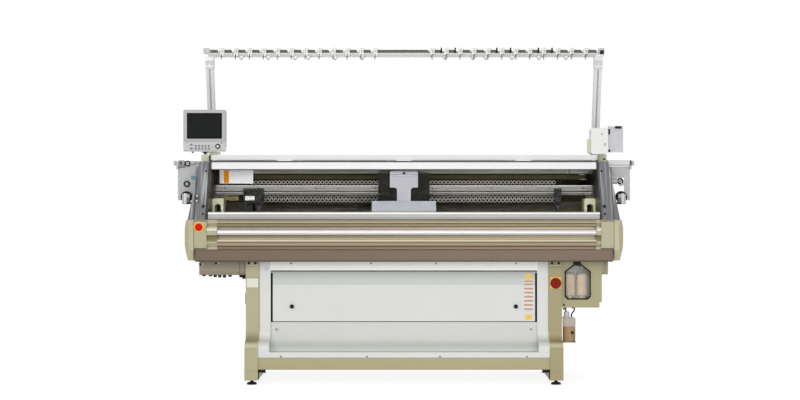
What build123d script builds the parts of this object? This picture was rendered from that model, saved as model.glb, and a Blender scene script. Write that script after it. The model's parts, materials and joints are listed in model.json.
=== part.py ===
# Flat knitting machine, free standing.
# Millimetres. +X is the right of someone who faces the front, +Y runs away from
# them and +Z is up. The origin is on the floor, under the middle of the machine.
from build123d import *
import os
from math import cos, sin, sqrt, radians, degrees, atan2

# Overall reach
half_depth = 500
body_half = 1200

# Clearances and common walls
seat_gap = 0.3
bearing_gap = 0.06
sheet = 3
plate = 8

# Side legs
leg_inner = body_half - 359
leg_width = 76
leg_outer = leg_inner + leg_width
leg_front = -320
toe_front = -410
leg_top = 712
step_high = 295
step_low = 206
front_column = 120
rear_column = 90
leg_rear = 330
foot_rail = 82
leg_head = 72
window_corner = 30

# Levelling feet
foot_radius = 30
foot_height = 28
foot_pad = 12
foot_stem = 11
foot_front_y = -350
foot_rear_y = 290

# Cross beams between the legs
beam_low = 88
beam_high = 158
beam_depth = 70

# Bed frame
frame_end = body_half - sheet
frame_top = 800
frame_front = -440
frame_step_front = -410
frame_step_z = 782
frame_rear = 300
drop_half = 40
beam_half = body_half - 240

# Needle beds, a roof of two plates that leave a narrow gap for the cloth
gap_y = -90
crest_z = 990
bed_gap = 12
bed_slope = 45
bed_length = 200
bed_thick = 30
bed_half = beam_half - 10
groove_pitch = 30
groove_width = 13
groove_depth = 5
groove_count = int(2 * bed_half / groove_pitch) - 2

# Take-down rollers
roller_z = 560
roller_radius = 45
nip_radius = 30
nip_gap = 2
roller_half = leg_inner - 41
journal_radius = 12
bracket_inner = leg_inner - 26
bracket_wall = 20
bracket_drop = 70

# Front skirt and its door
skirt_opening = leg_inner - 67
skirt_front_set = 15
skirt_depth = 30
skirt_low = 158
skirt_sill = 189
skirt_head = 656
recess_back = -285
recess_wall = 6
door_half = skirt_opening - 12
door_low = 360
door_high = 649
door_front = -300
door_depth = 15
door_hinge_z = 646
door_pin = 5
inner_panel_high = 355
knob_x = door_half - 112
knob_z = 447
knob_radius = 12
knob_out = 18
knob_spindle = 5

# Fascia, tray and corners
fascia_low = 719
fascia_front = -452
tray_left = body_half - 133
tray_right = body_half - 100
tray_top = 951
tray_nose = -475
tray_lip = -467
tray_ledge = -447
tray_round = 6
tray_brow_low = 911
tray_web_front = -424
tray_nose_high = 842
tray_foot_high = 797
corner_inner = body_half - 75
corner_front = -472
bar_radius = 16.5
bar_y = -458.5
bar_z = 881
bar_pin = 6
bar_pin_length = 14

# End covers
end_cover_width = 53
end_cover_wall = 4
end_cover_round = 12
end_cover_top_lean = 8
end_cover_top_drop = 49
end_cover_foot_lean = 18
end_cover_foot_rise = 83

# Emergency stop
stop_x = -(body_half - 30)
stop_z = 910.5
stop_collar_radius = 30
stop_collar_depth = 4
stop_cap_radius = 20.5
stop_stem_radius = 9
stop_cap_depth = 13
stop_travel = 6

# End frames
end_inner = body_half - 72
end_top = 1300
end_rear = half_depth - 10
rear_fold = 1050
casting_inner = end_inner - 64
casting_top = 1072
casting_front = -160
casting_rear = -20
casting_arch = 21
seat_inner = end_inner - 48
pillar_x = end_inner + 29
pillar_width = 46
pillar_low = 1247
pillar_front = -90
pillar_depth = 46
panel_hinge_z = 1356
box_low = 1334

# Carrier rail
rail_half = end_inner - 16
rail_upper_low = 1117
rail_upper_high = 1151
rail_lower_low = 1093.5
rail_lower_high = 1109.5
rail_front = -110
rail_lower_front = -114
rail_web_front = -90
rail_back = -84

# Yarn carriers
carrier_front = -140
carrier_top = 1133
carrier_low = 1043
tip_z = 996
tip_width = 8
left_carrier_x = -(beam_half - 72)
left_carrier_width = 119
right_carrier_x = beam_half - 50
right_carrier_width = 40

# Carriage
cam_half = 187
cam_start = 15
cam_end = 185
cam_height = 62
cam_gap = 0.5
column_front = -190
column_wall = 25
arch_top = 1168
carriage_top = 1222
body_half_x = 150
bridge_wall = 14
bridge_head = 165
bridge_neck = 81
bridge_shoulder = 1138
bridge_round = 18
cover_high = 1059
cover_shelf = 45
cover_nose = 100
clamp_half = 40
clamp_low = 1191
clamp_high = 1213

# Guard, guide beam and drive belt
guard_y = 100
guard_thick = 2
guard_low = 1035
guard_band_low = 1182
guard_half = bed_half
hole_pitch = 47.4
hole_size = 26
hole_count = int(2 * guard_half / hole_pitch) - 1
hole_rows = (1167, 1091, 1059)
guide_low = 1222
guide_high = 1246
guide_front = 15
guide_depth = 25
pulley_x = end_inner - 50
pulley_y = 72
pulley_radius = 22
pulley_flange = 2.5
pulley_spindle = 6
belt_thick = 3
belt_low = 1190
belt_high = 1214
motor_low = 1080

# Front cover
cover_half = end_inner - 2
hinge_y = -196
hinge_z = 1291
hinge_radius = 5
knuckle_wall = 4
knuckle_length = 90
knuckle_x = 700
window_slope_run = 205
bar_centre_y = -398
bar_low = 953
bar_high = 997
bar_depth = 26
rail_low = 1248
rail_high = 1284
pane_thick = 5

# Side covers
side_cover_low = 951
side_cover_high = 1290
side_cover_foot = body_half + 40
side_cover_head = end_inner + 69
side_cover_rear = -110
side_cover_wall = 4

# Yarn table
table_half = end_inner + plate
table_front = -190
table_rear = half_depth
table_top = 1329

# Yarn stand
post_x = table_half + 51
post_size = 46
post_slot = 10
post_base_y = 450
post_base_z = 1230
post_head_y = 200
post_head_z = 1937
stand_half = post_x + 37
stand_beam = 44
stand_depth = 32
units_first = 174
unit_height = 57
units_each_side = 12
units_pitch = (stand_half - 115 - units_first) / (units_each_side - 1)

# Control panel
panel_x = -(pillar_x + 24.5)
panel_width = 250
panel_low = 1351
panel_high = 1599
panel_front = -112
panel_plate = 24
panel_depth = 60
panel_rear_low = 1380
screen_width = 208
screen_height = 153
screen_top_margin = 19
bezel_depth = 4
dial_radius = 13
dial_x = panel_x + 79.5
dial_z = 1382
key_x = panel_x - 77.5
key_size = 14
key_height = 9
key_depth = 6
key_travel = 1.5
upper_key_z = 1392.5
lower_key_z = 1369
pad_x = panel_x - 50.5
pad_pitch = 19.4
pad_row = 16
pad_key = 11
pad_relief = 1.2
fork_pin = 6
fork_eye = 15
fork_cheek = 10
fork_half = 8

# Electrical box and clear board
box_x0 = end_inner - 28
box_x1 = box_x0 + 100
box_high = 1488
box_front = -190
box_depth = 120
board_right = box_x1 + 91
board_high = 1500
board_low = 1345

# Side plates and feed rollers
side_plate_front = -100
side_plate_thick = 4
side_plate_width = 224
side_neck = 69
side_cap = 14
side_reach = end_inner + plate + side_plate_width
side_arm_low = 1197
side_arm_high = 1263
side_rise = 32
wheel_inset = 73
wheel_z = 1082
wheel_radius = 36
wheel_depth = 14
motor_half = 22
motor_drop = 42
motor_rise = 18
motor_depth = 50
lower_disc_z = 1166
lower_disc_radius = 19
upper_disc_inset = 122
upper_disc_z = 1230
upper_disc_radius = 14
feed_y = -122
feed_z = 1283
feed_radius = 17
feed_spindle = 5
feed_outer = side_reach - 26
left_feed_length = 34
right_feed_length = 126

# Main switch, filter box and oil bottle
switch_x = leg_inner + leg_width / 2 + 1
switch_z = 583
switch_radius = 31
switch_plate_size = 64
filter_right = leg_outer + 233
filter_low = 440
filter_front = -300
filter_depth = 150
filter_wall = 3
filter_flange = 18
filter_side_width = 37
filter_side_height = 80
cartridge_inset = 103
lid_x0 = leg_outer + 16
lid_x1 = lid_x0 + 152
lid_low = 487
lid_high = 691
lid_corner = 17
lid_head_cut = 52
lid_head_drop = 40
lid_thick = 5
lid_eye = 5
lid_eye_length = 16
lid_pin = 2.5
cartridge_radius = 28
cartridge_foot = 20
cartridge_low = 504
cartridge_high = 638
bottle_x = leg_outer + 46
bottle_y = -270
bottle_radius = 38
bottle_low = 240
bottle_high = 382
bottle_cap_high = 415
shelf_thick = 4
hose_radius = 4

# Box below the left end
under_left = body_half - 9
under_low = 628
under_front = -290
under_depth = 190


def block(x0, x1, y0, y1, z0, z1):
    """A box between two corners."""
    middle = Pos((x0 + x1) / 2, (y0 + y1) / 2, (z0 + z1) / 2)
    return middle * Box(abs(x1 - x0), abs(y1 - y0), abs(z1 - z0))


def rod_x(radius, x0, x1, y, z):
    """A round bar along X."""
    return Pos((x0 + x1) / 2, y, z) * Rot(0, 90, 0) * Cylinder(radius, abs(x1 - x0))


def rod_y(radius, x, y0, y1, z):
    """A round bar along Y."""
    return Pos(x, (y0 + y1) / 2, z) * Rot(90, 0, 0) * Cylinder(radius, abs(y1 - y0))


def rod_z(radius, x, y, z0, z1):
    """A round bar along Z."""
    return Pos(x, y, (z0 + z1) / 2) * Cylinder(radius, abs(z1 - z0))


def along_x(points, x0, x1):
    """A closed outline of (y, z) points carried from x0 to x1."""
    face = make_face(Polyline(*points, close=True))
    return extrude(Plane.YZ.offset(min(x0, x1)) * face, amount=abs(x1 - x0))


def along_y(points, y0, y1):
    """A closed outline of (x, z) points carried from y0 to y1."""
    face = make_face(Polyline(*points, close=True))
    return extrude(Plane.XZ.offset(-max(y0, y1)) * face, amount=abs(y1 - y0))


def along_z(points, z0, z1):
    """A closed outline of (x, y) points carried from z0 to z1."""
    face = make_face(Polyline(*points, close=True))
    return extrude(Plane.XY.offset(min(z0, z1)) * face, amount=abs(z1 - z0))


def mirrored(shape):
    """The same shape on the other side of the machine."""
    return mirror(shape, about=Plane.YZ)


def one(shape):
    """The single solid of a shape."""
    return shape.solids()[0]


# Legs, feet and cross beams

def step_line(offset, low, high):
    """The front line of a leg or skirt, from low to high, set in from the leg's front."""
    middle = ((leg_front + toe_front) / 2 + offset, (step_low + step_high) / 2)
    upper, lower = (leg_front + offset, step_high), (toe_front + offset, step_low)
    return (Line((lower[0], low), lower) + TangentArc(lower, middle, tangent=(0, 1))
            + TangentArc(upper, middle, tangent=(0, -1)) + Line(upper, (upper[0], high)))


def leg():
    """Side leg: one casting with a stepped front and a window through it."""
    front = step_line(0, foot_height, leg_top)
    rest = Polyline((leg_front, leg_top), (leg_rear, leg_top), (leg_rear, foot_height),
                    (toe_front, foot_height))
    face = make_face(front + rest)
    inner = step_line(front_column, foot_height + foot_rail, leg_top - leg_head)
    inner_rest = Polyline((leg_front + front_column, leg_top - leg_head),
                          (leg_rear - rear_column, leg_top - leg_head),
                          (leg_rear - rear_column, foot_height + foot_rail),
                          (toe_front + front_column, foot_height + foot_rail))
    window = make_face(inner + inner_rest)
    window = fillet(window.vertices().sort_by(Axis.X)[-2:], window_corner)
    body = extrude(Plane.YZ.offset(leg_inner) * face, amount=leg_width)
    body -= extrude(Plane.YZ.offset(leg_inner) * window, amount=leg_width)
    return body


def bottle_shelf():
    """Small shelf welded to the right leg, under the oil bottle."""
    top = bottle_low
    flat = block(leg_outer, bottle_x + bottle_radius, bottle_y - bottle_radius,
                 bottle_y + bottle_radius, top - shelf_thick, top)
    web = block(leg_outer, leg_outer + shelf_thick, bottle_y - bottle_radius,
                bottle_y + bottle_radius, top - bottle_radius, top)
    return flat + web


def levelling_feet():
    """Four rubber pads, each with its stem under a leg."""
    feet = []
    for side in (-1, 1):
        for y in (foot_front_y, foot_rear_y):
            x = side * (leg_inner + leg_width / 2)
            pad = Pos(x, y, foot_pad / 2) * Cone(foot_radius, foot_radius - 4, foot_pad)
            stem = rod_z(foot_stem, x, y, foot_pad, foot_height)
            feet.append(one(pad + stem))
    return Compound(feet)


def cross_beams():
    """Front and rear beams between the legs."""
    beams = []
    for y in (toe_front + skirt_front_set, leg_rear - beam_depth - skirt_front_set):
        beam = block(-leg_inner, leg_inner, y, y + beam_depth, beam_low, beam_high)
        beam = fillet(beam.edges().filter_by(Axis.X), 6)
        beams.append(one(beam))
    return Compound(beams)


# Bed frame, needle beds and take-down

def bed_line(distance, lift, side):
    """A (y, z) point on a bed: distance down the slope and lift above its face."""
    run, rise = cos(radians(bed_slope)), sin(radians(bed_slope))
    out = bed_gap / 2 + distance * run + lift * rise
    return (gap_y + side * out, crest_z - distance * rise + lift * run)


def bed_outline(side):
    """Section of one needle bed, cut upright along the gap."""
    inner = (gap_y + side * bed_gap / 2, crest_z - bed_thick / cos(radians(bed_slope)))
    return [bed_line(0, 0, side), bed_line(bed_length, 0, side),
            bed_line(bed_length, -bed_thick, side), inner]


def bed_wedge(side):
    """Section of the frame's ridge that carries one needle bed."""
    bed = bed_outline(side)
    return [bed[3], bed[2], (bed[2][0], frame_top - 1), (gap_y + side * drop_half, frame_top - 1),
            (gap_y + side * drop_half, crest_z - bed_thick / cos(radians(bed_slope)) - drop_half)]


def bed_frame():
    """Main frame: two long beams with ridges, joined at their ends around the cloth drop."""
    front = [(frame_front, leg_top), (frame_front, frame_step_z), (frame_step_front, frame_step_z),
             (frame_step_front, frame_top), (gap_y - drop_half, frame_top),
             (gap_y - drop_half, leg_top)]
    rear = [(gap_y + drop_half, leg_top), (gap_y + drop_half, frame_top),
            (frame_rear, frame_top), (frame_rear, leg_top)]
    frame = along_x(front, -frame_end, frame_end) + along_x(rear, -frame_end, frame_end)
    for side in (-1, 1):
        frame += along_x(bed_wedge(side), -bed_half, bed_half)
        frame += block(side * beam_half, side * frame_end, gap_y - drop_half, gap_y + drop_half,
                       leg_top, frame_top)
        frame += takedown_bracket(side)
    return frame


def roller_places():
    """Centres in Y of the take-down roller and of the nip roller."""
    return (gap_y + nip_gap / 2 + roller_radius, gap_y - nip_gap / 2 - nip_radius)


def takedown_bracket(side):
    """Hanging bracket with the bores of both rollers."""
    main_y, nip_y = roller_places()
    x0, x1 = side * bracket_inner, side * (bracket_inner + bracket_wall)
    hanger = block(x0, x1, nip_y - nip_radius, main_y + roller_radius,
                   roller_z - bracket_drop, leg_top)
    hanger = fillet(hanger.edges().filter_by(Axis.X).sort_by(Axis.Z)[:2], 20)
    for y in (main_y, nip_y):
        hanger -= rod_x(journal_radius + bearing_gap, x0, x1, y, roller_z)
    return hanger


def drum(radius, y):
    """A take-down roller: barrel with a journal at each end."""
    reach = bracket_inner + bracket_wall
    barrel = rod_x(radius, -roller_half, roller_half, y, roller_z)
    return barrel + rod_x(journal_radius, -reach, reach, y, roller_z)


def needle_bed(side):
    """Needle bed plate with a groove for every few needles."""
    bed = along_x(bed_outline(side), -bed_half, bed_half)
    start = -(groove_count - 1) / 2 * groove_pitch
    low, high = bed_line(bed_length, 0, side), bed_line(0, 0, side)
    deep_low, deep_high = bed_line(bed_length, -groove_depth, side), bed_line(0, -groove_depth, side)
    cut = [low, high, deep_high, deep_low]
    grooves = [along_x(cut, start + i * groove_pitch - groove_width / 2,
                       start + i * groove_pitch + groove_width / 2) for i in range(groove_count)]
    return bed - grooves


# Skirt and door

def skirt_section(front_offset, back, low, high):
    """Section between the stepped front line and a back line or plane."""
    front = step_line(front_offset, low, high)
    rest = Polyline((leg_front + front_offset, high), (back, high), (back, low),
                    (toe_front + front_offset, low))
    return make_face(front + rest)


def skirt_frame():
    """Stepped front frame, with cheeks, a sill and the fixed panel set back under the door."""
    front, back = skirt_front_set, skirt_front_set + skirt_depth
    outer = skirt_section(front, recess_back + 2 * sheet, skirt_low, leg_top)
    inner = skirt_section(back, recess_back + 3 * sheet, skirt_low - 1, step_high - back)
    width = 2 * leg_inner
    shell = extrude(Plane.YZ.offset(-leg_inner) * outer, amount=width)
    shell -= extrude(Plane.YZ.offset(-leg_inner) * inner, amount=width)
    shell -= block(-skirt_opening, skirt_opening, toe_front - skirt_depth, 0, skirt_sill, skirt_head)
    pin_y = door_front + door_depth / 2
    cheek = skirt_section(front + sheet, recess_back, skirt_sill - sheet, step_high + skirt_depth)
    for side in (-1, 1):
        x0, x1 = side * skirt_opening, side * (skirt_opening + recess_wall)
        shell += extrude(Plane.YZ.offset(min(x0, x1)) * cheek, amount=recess_wall)
        shell -= rod_x(door_pin + bearing_gap, side * (skirt_opening - 1), x1, pin_y, door_hinge_z)
    reach = skirt_opening + recess_wall / 2
    shell += block(-reach, reach, recess_back - sheet, recess_back, skirt_sill - sheet,
                   inner_panel_high)
    shell += block(-reach, reach, toe_front + skirt_depth, recess_back, skirt_sill - 2 * sheet,
                   skirt_sill - sheet / 2)
    return shell


def skirt_door():
    """Access door, a shallow pan with a pin at each end of its top edge."""
    door = block(-door_half, door_half, door_front, door_front + door_depth, door_low, door_high)
    door = fillet(door.edges().filter_by(Axis.Y), 4)
    hollow = block(-door_half + 4 * sheet, door_half - 4 * sheet, door_front + sheet,
                   door_front + door_depth, door_low + 4 * sheet, door_high - 6 * sheet)
    door -= hollow
    reach = skirt_opening + recess_wall
    door += rod_x(door_pin, -reach, reach, door_front + door_depth / 2, door_hinge_z)
    for side in (-1, 1):
        door -= rod_y(knob_spindle + bearing_gap, side * knob_x, door_front, door_front + door_depth,
                      knob_z)
    return door


def door_knob(side):
    """Round knob with its spindle and the tongue behind the door."""
    x = side * knob_x
    knob = rod_y(knob_radius, x, door_front - knob_out, door_front - seat_gap, knob_z)
    knob = fillet(knob.edges().group_by(Axis.Y)[0], 3)
    back = door_front + sheet + seat_gap
    spindle = rod_y(knob_spindle, x, door_front - seat_gap, back + sheet, knob_z)
    tongue = block(x - knob_spindle, x + knob_spindle, back, back + sheet, knob_z - knob_spindle,
                   knob_z + 2.5 * knob_radius)
    return knob + spindle + tongue


# Fascia, tray, corners and end covers

def fascia():
    """Folded plate along the bottom of the bed frame."""
    fold = [(fascia_front, fascia_low), (frame_front, fascia_low), (frame_front, frame_step_z),
            (fascia_front, frame_step_z)]
    skin = along_x(fold, -body_half, body_half)
    inside = [(fascia_front + sheet, fascia_low + sheet), (frame_front, fascia_low + sheet),
              (frame_front, frame_step_z - sheet), (fascia_front + sheet, frame_step_z - sheet)]
    return skin - along_x(inside, -body_half + sheet, body_half - sheet)


def tray_brow():
    """Section of the tray's upper lip, with a ledge cut back under it."""
    back, step = frame_step_front, tray_round
    return [(back, tray_top), (tray_lip + 3 * step, tray_top), (tray_lip + step, tray_top - step),
            (tray_lip, tray_top - 3 * step), (tray_ledge, tray_top - 4 * step),
            (tray_ledge, tray_brow_low + step), (tray_lip + step, tray_brow_low),
            (back, tray_brow_low)]


def tray_nose_face():
    """Section of the tray's round nose below the bar."""
    back, top, step = frame_step_front, tray_nose_high, tray_round
    start, end = (tray_nose + 4 * step, top), (tray_nose + 2 * step, tray_foot_high + step)
    nose = ThreePointArc(start, (tray_nose, top - 3 * step), end)
    foot = Polyline(end, (tray_ledge, tray_foot_high), (tray_ledge, frame_step_z),
                    (back, frame_step_z), (back, top), start)
    return make_face(nose + foot)


def front_tray():
    """Lip, back wall and nose along the front, with room for fingers behind the bar."""
    brow = along_x(tray_brow(), -tray_left, tray_right)
    wall = block(-tray_left, tray_right, tray_web_front, frame_step_front, tray_nose_high,
                 tray_brow_low)
    nose = extrude(Plane.YZ.offset(-tray_left) * tray_nose_face(), amount=tray_left + tray_right)
    return Compound([one(brow), one(wall), one(nose)])


def corner_outline(front):
    """Side outline of the corner box and of its end block."""
    round_in = 10
    return [(frame_step_front, frame_step_z), (front + round_in, frame_step_z),
            (front, frame_step_z + round_in), (front, tray_top - round_in),
            (front + round_in, tray_top), (frame_step_front, tray_top)]


def end_block_outline():
    """Side outline of the block that closes the tray and holds the bar."""
    step, grip = tray_round, bar_radius + tray_round
    return [(frame_step_front, tray_top), (tray_lip + 3 * step, tray_top),
            (tray_lip, tray_top - 3 * step), (tray_lip + 3 * step, bar_z + grip + 2 * step),
            (tray_nose - step, bar_z + grip), (tray_nose - step, bar_z - grip + step),
            (tray_lip + 2 * step, bar_z - grip), (tray_nose, tray_nose_high - 2 * step),
            (tray_nose, tray_nose_high - 4 * step), (tray_lip + step, tray_foot_high + step),
            (tray_ledge - step, tray_foot_high), (tray_ledge - step, frame_step_z),
            (frame_step_front, frame_step_z)]


def corner(side, block_inner):
    """Corner box outside the tray, with the end block that holds the bar."""
    shell = along_x(corner_outline(corner_front), side * corner_inner, side * body_half)
    inside = block(side * (corner_inner + sheet), side * (body_half - sheet), corner_front + sheet,
                   frame_step_front, frame_step_z + sheet, tray_top - sheet)
    shell += along_x(end_block_outline(), side * block_inner, side * corner_inner) - inside
    shell -= inside
    pin_end = side * (block_inner + bar_pin_length + seat_gap)
    shell -= rod_x(bar_pin + bearing_gap, side * block_inner, pin_end, bar_y, bar_z)
    return shell


def corner_left():
    """Left corner with the collar and bore of the emergency stop."""
    shell = corner(-1, tray_left)
    shell += rod_y(stop_collar_radius, stop_x, corner_front - stop_collar_depth + 1,
                   corner_front, stop_z)
    shell += rod_y(stop_stem_radius + sheet, stop_x, corner_front, corner_front + 30, stop_z)
    shell -= rod_y(stop_stem_radius + bearing_gap, stop_x, corner_front - stop_collar_depth,
                   corner_front + 30, stop_z)
    return shell


def estop_button():
    """Mushroom cap on its stem."""
    front = -half_depth
    cap = rod_y(stop_cap_radius, stop_x, front, front + stop_cap_depth, stop_z)
    cap = fillet(cap.edges().group_by(Axis.Y)[0], 5)
    return cap + rod_y(stop_stem_radius, stop_x, front + stop_cap_depth, corner_front + 20, stop_z)


def operation_bar():
    """Round bar along the front, on a pin at each end."""
    x0, x1 = -tray_left + 1, tray_right - 1
    bar = rod_x(bar_radius, x0, x1, bar_y, bar_z)
    pins = rod_x(bar_pin, x0 - 1 - bar_pin_length, x1 + 1 + bar_pin_length, bar_y, bar_z)
    return bar + pins


def end_cover_form(side, inset):
    """Outer form of an end cover, or of its hollow where an inset is given."""
    front, rear = corner_front + inset, frame_rear - inset
    low, high = fascia_low + inset, tray_top - inset
    outer, bend = body_half + end_cover_width - inset, end_cover_round
    outline = [(rear, low), (front + 2 * bend, low), (front, low + 5 * bend), (front, high - bend),
               (front + bend, high), (rear, high)]
    face = [(body_half, high), (outer - end_cover_top_lean, high), (outer, high - end_cover_top_drop),
            (outer, low + end_cover_foot_rise), (outer - end_cover_foot_lean, low), (body_half, low)]
    plan = [(body_half, front), (outer - 2 * bend, front), (outer, front + bend), (outer, rear),
            (body_half, rear)]
    form = along_x(outline, side * body_half, side * outer)
    form &= along_y([(side * x, z) for x, z in face], front, rear)
    return form & along_z([(side * x, y) for x, y in plan], low, high)


def end_cover(side):
    """Moulded end cap, open towards the frame."""
    return end_cover_form(side, 0) - end_cover_form(side, end_cover_wall)


# End frames, rail and yarn carriers

def window_y(z):
    """Depth of the front cover's middle plane at a height."""
    lean = window_slope_run / (hinge_z - (bar_low + bar_high) / 2)
    return bar_centre_y + (z - (bar_low + bar_high) / 2) * lean


def end_frame(side):
    """End casting: upright plate, rail seat with arched openings and the outer pillar."""
    ledge = tray_top + seat_gap
    outline = [(frame_step_front, frame_top), (frame_step_front, ledge), (window_y(ledge) - 4, ledge),
               (window_y(end_top) - 30, end_top), (end_rear, end_top), (end_rear, post_base_z - 30),
               (frame_rear, rear_fold), (frame_rear, frame_top)]
    x_in, x_out = side * end_inner, side * (end_inner + plate)
    frame = along_x(outline, x_in, x_out)
    foot = block(side * casting_inner, x_in, casting_front, casting_rear, frame_top, casting_top)
    middle = side * (casting_inner + end_inner) / 2
    arch = rod_y(casting_arch, middle, casting_front, casting_rear, crest_z + 30)
    arch += block(middle - casting_arch, middle + casting_arch, casting_front, casting_rear,
                  frame_top + 40, crest_z + 30)
    seat = block(side * seat_inner, x_in, rail_back, rail_back + 24, casting_top, rail_upper_high)
    frame += foot - arch + seat
    return frame + pillar(side)


def pillar(side):
    """Bracket on the outside of an end frame, for the panel or the electrical box."""
    x0, x1 = side * pillar_x, side * (pillar_x + pillar_width)
    high = box_low
    y0, y1 = pillar_front, pillar_front + pillar_depth
    column = block(x0, x1, y0, y1, pillar_low, high)
    foot = block(side * (end_inner + plate), x1, y0, y1, pillar_low, pillar_low + 16)
    bracket = fillet((column + foot).edges().filter_by(Axis.Z).sort_by(Axis.X)[:2], 5)
    if side < 0:
        middle, pin_y = (x0 + x1) / 2, panel_pin_y()
        near, far = middle - fork_half, middle + fork_half
        ear = block(near, far, pin_y - fork_eye, pin_y + fork_eye, high, panel_hinge_z)
        ear += rod_x(fork_eye, near, far, pin_y, panel_hinge_z)
        bracket += ear - rod_x(fork_pin + bearing_gap, x0, x1, pin_y, panel_hinge_z)
    return bracket


def carrier_rail():
    """Extruded rail with an upper and a lower track on one web."""
    track = [(rail_front, rail_upper_high), (rail_front, rail_upper_low),
             (rail_web_front, rail_upper_low), (rail_web_front, rail_lower_high),
             (rail_lower_front, rail_lower_high), (rail_lower_front, rail_lower_low),
             (rail_back, rail_lower_low), (rail_back, rail_upper_high)]
    return along_x(track, -rail_half, rail_half)


def yarn_carrier(middle, width):
    """Slider round the lower track, with a slanted arm down to the feeder tip."""
    top_lip = rail_upper_low - seat_gap
    low_lip = rail_lower_low - seat_gap
    under = low_lip - 8
    lip_back = rail_web_front - 3
    section = [(carrier_front, carrier_top), (rail_front - seat_gap, carrier_top),
               (rail_front - seat_gap, top_lip), (lip_back, top_lip),
               (lip_back, rail_lower_high + seat_gap),
               (rail_lower_front - seat_gap, rail_lower_high + seat_gap),
               (rail_lower_front - seat_gap, low_lip), (lip_back, low_lip), (lip_back, under),
               (rail_lower_front, under), (rail_lower_front, carrier_low),
               (carrier_front, carrier_low)]
    slider = along_x(section, middle - width / 2, middle + width / 2)
    tip = gap_y - tip_width / 2
    arm = [(carrier_front + 4, carrier_low), (rail_lower_front - 4, carrier_low),
           (tip + tip_width, tip_z), (tip, tip_z)]
    arm_half = 7
    slider += along_x(arm, middle - arm_half, middle + arm_half)
    slot = along_x([(carrier_front, carrier_low + 14), (carrier_front + 6, carrier_low + 14),
                    (carrier_front + 6, carrier_top - 14), (carrier_front, carrier_top - 14)],
                   middle - width / 2 + 8, middle + width / 2 - 8)
    return slider - slot


# Carriage

def cam_outline(side):
    """Section of the cam box that runs over one bed."""
    return [bed_line(cam_start, cam_gap, side), bed_line(cam_end, cam_gap, side),
            bed_line(cam_end, cam_height, side), bed_line(cam_start, cam_height, side)]


def cam_top(y):
    """Height of the front cam box's upper face at a depth."""
    start = bed_line(cam_start, cam_height, -1)
    return start[1] + (y - start[0])


def carriage_body():
    """Arch over the rail, with a cam box over each bed and the arm to the drive belt."""
    body = along_x(cam_outline(-1), -cam_half, cam_half)
    body += along_x(cam_outline(1), -cam_half, cam_half)
    low = cam_top(column_front + column_wall) - 30
    rear = 2 * gap_y - column_front
    arch = block(-body_half_x, body_half_x, column_front, rear, low, carriage_top)
    arch -= block(-body_half_x, body_half_x, column_front + column_wall, rear - column_wall,
                  low, arch_top)
    body += arch - bed_space()
    body += block(-clamp_half, clamp_half, rear - column_wall,
                  pulley_y - pulley_radius - belt_thick - seat_gap, clamp_low, clamp_high)
    return body


def bed_space():
    """Space under the cam boxes, kept free above the beds."""
    points = [bed_line(-bed_gap, cam_height / 2, 1), bed_line(bed_length, cam_height / 2, 1),
              bed_line(bed_length, -bed_length, 1), bed_line(bed_length, -bed_length, -1),
              bed_line(bed_length, cam_height / 2, -1), bed_line(-bed_gap, cam_height / 2, -1)]
    return along_x(points, -cam_half, cam_half)


def carriage_bridge():
    """T-shaped front casting with a cap over the arch."""
    half, neck, y1 = bridge_head / 2, bridge_neck / 2, column_front
    top = carriage_top + bridge_wall
    outline = [(-half, bridge_shoulder), (-half, top), (half, top), (half, bridge_shoulder),
               (neck, bridge_shoulder), (neck, cover_high), (-neck, cover_high),
               (-neck, bridge_shoulder)]
    head = along_y(outline, y1 - bridge_wall, y1)
    corners = [e for e in head.edges().filter_by(Axis.Y)
               if abs(e.center().Z - bridge_shoulder) < 1 and abs(abs(e.center().X) - neck) < 1]
    head = fillet(corners, bridge_round)
    cap = block(-half, half, y1, 2 * gap_y - column_front, carriage_top, top)
    ribs = [block(-half + 14 + i * 12, -half + 20 + i * 12, y1 - bridge_wall - 5,
                  y1 - bridge_wall, top - 32, top - 6) for i in range(5)]
    for rib in ribs + [mirrored(rib) for rib in ribs]:
        head += rib
    return head + cap


def carriage_cover():
    """Cover over the front cam box."""
    back = column_front - seat_gap
    nose = back - cover_nose
    outline = [(back, cam_top(back) + seat_gap), (back, cover_high - seat_gap),
               (back - cover_shelf, cover_high - seat_gap), (nose, cover_high - cover_shelf - 10),
               (nose, cam_top(nose) + seat_gap)]
    cover = along_x(outline, -cam_half, cam_half)
    return fillet(cover.edges().filter_by(Axis.X).sort_by(Axis.Z)[-3:], 6)


# Guard, guide beam and drive

def perforated_guard():
    """Sheet behind the beds: staggered rows of holes, hung by a plain band at its top."""
    band = Pos(0, (guard_band_low + guide_high) / 2) * Rectangle(
        2 * end_inner, guide_high - guard_band_low)
    field = Pos(0, (guard_low + guard_band_low) / 2) * Rectangle(
        2 * guard_half, guard_band_low - guard_low)
    holes = []
    for row, z in enumerate(hole_rows):
        shift = hole_pitch / 4 if row % 2 else -hole_pitch / 4
        start = -(hole_count - 1) / 2 * hole_pitch + shift
        holes += [Pos(start + i * hole_pitch, z) * RegularPolygon(hole_size / 2, 4)
                  for i in range(hole_count)]
    sheet_face = Plane.XZ.offset(-guard_y - guard_thick) * (band + field - holes)
    return extrude(sheet_face, amount=guard_thick)


def guide_beam():
    """Beam above the guard, with an end plate and a pulley spindle at each side."""
    beam = block(-end_inner, end_inner, guide_front, guide_front + guide_depth, guide_low, guide_high)
    for side in (-1, 1):
        beam += block(side * (pulley_x - 50), side * end_inner, guide_front, guard_y - seat_gap,
                      guide_low, guide_low + plate)
        beam += rod_z(pulley_spindle, side * pulley_x, pulley_y, belt_low - 6, guide_low)
    return beam


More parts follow.
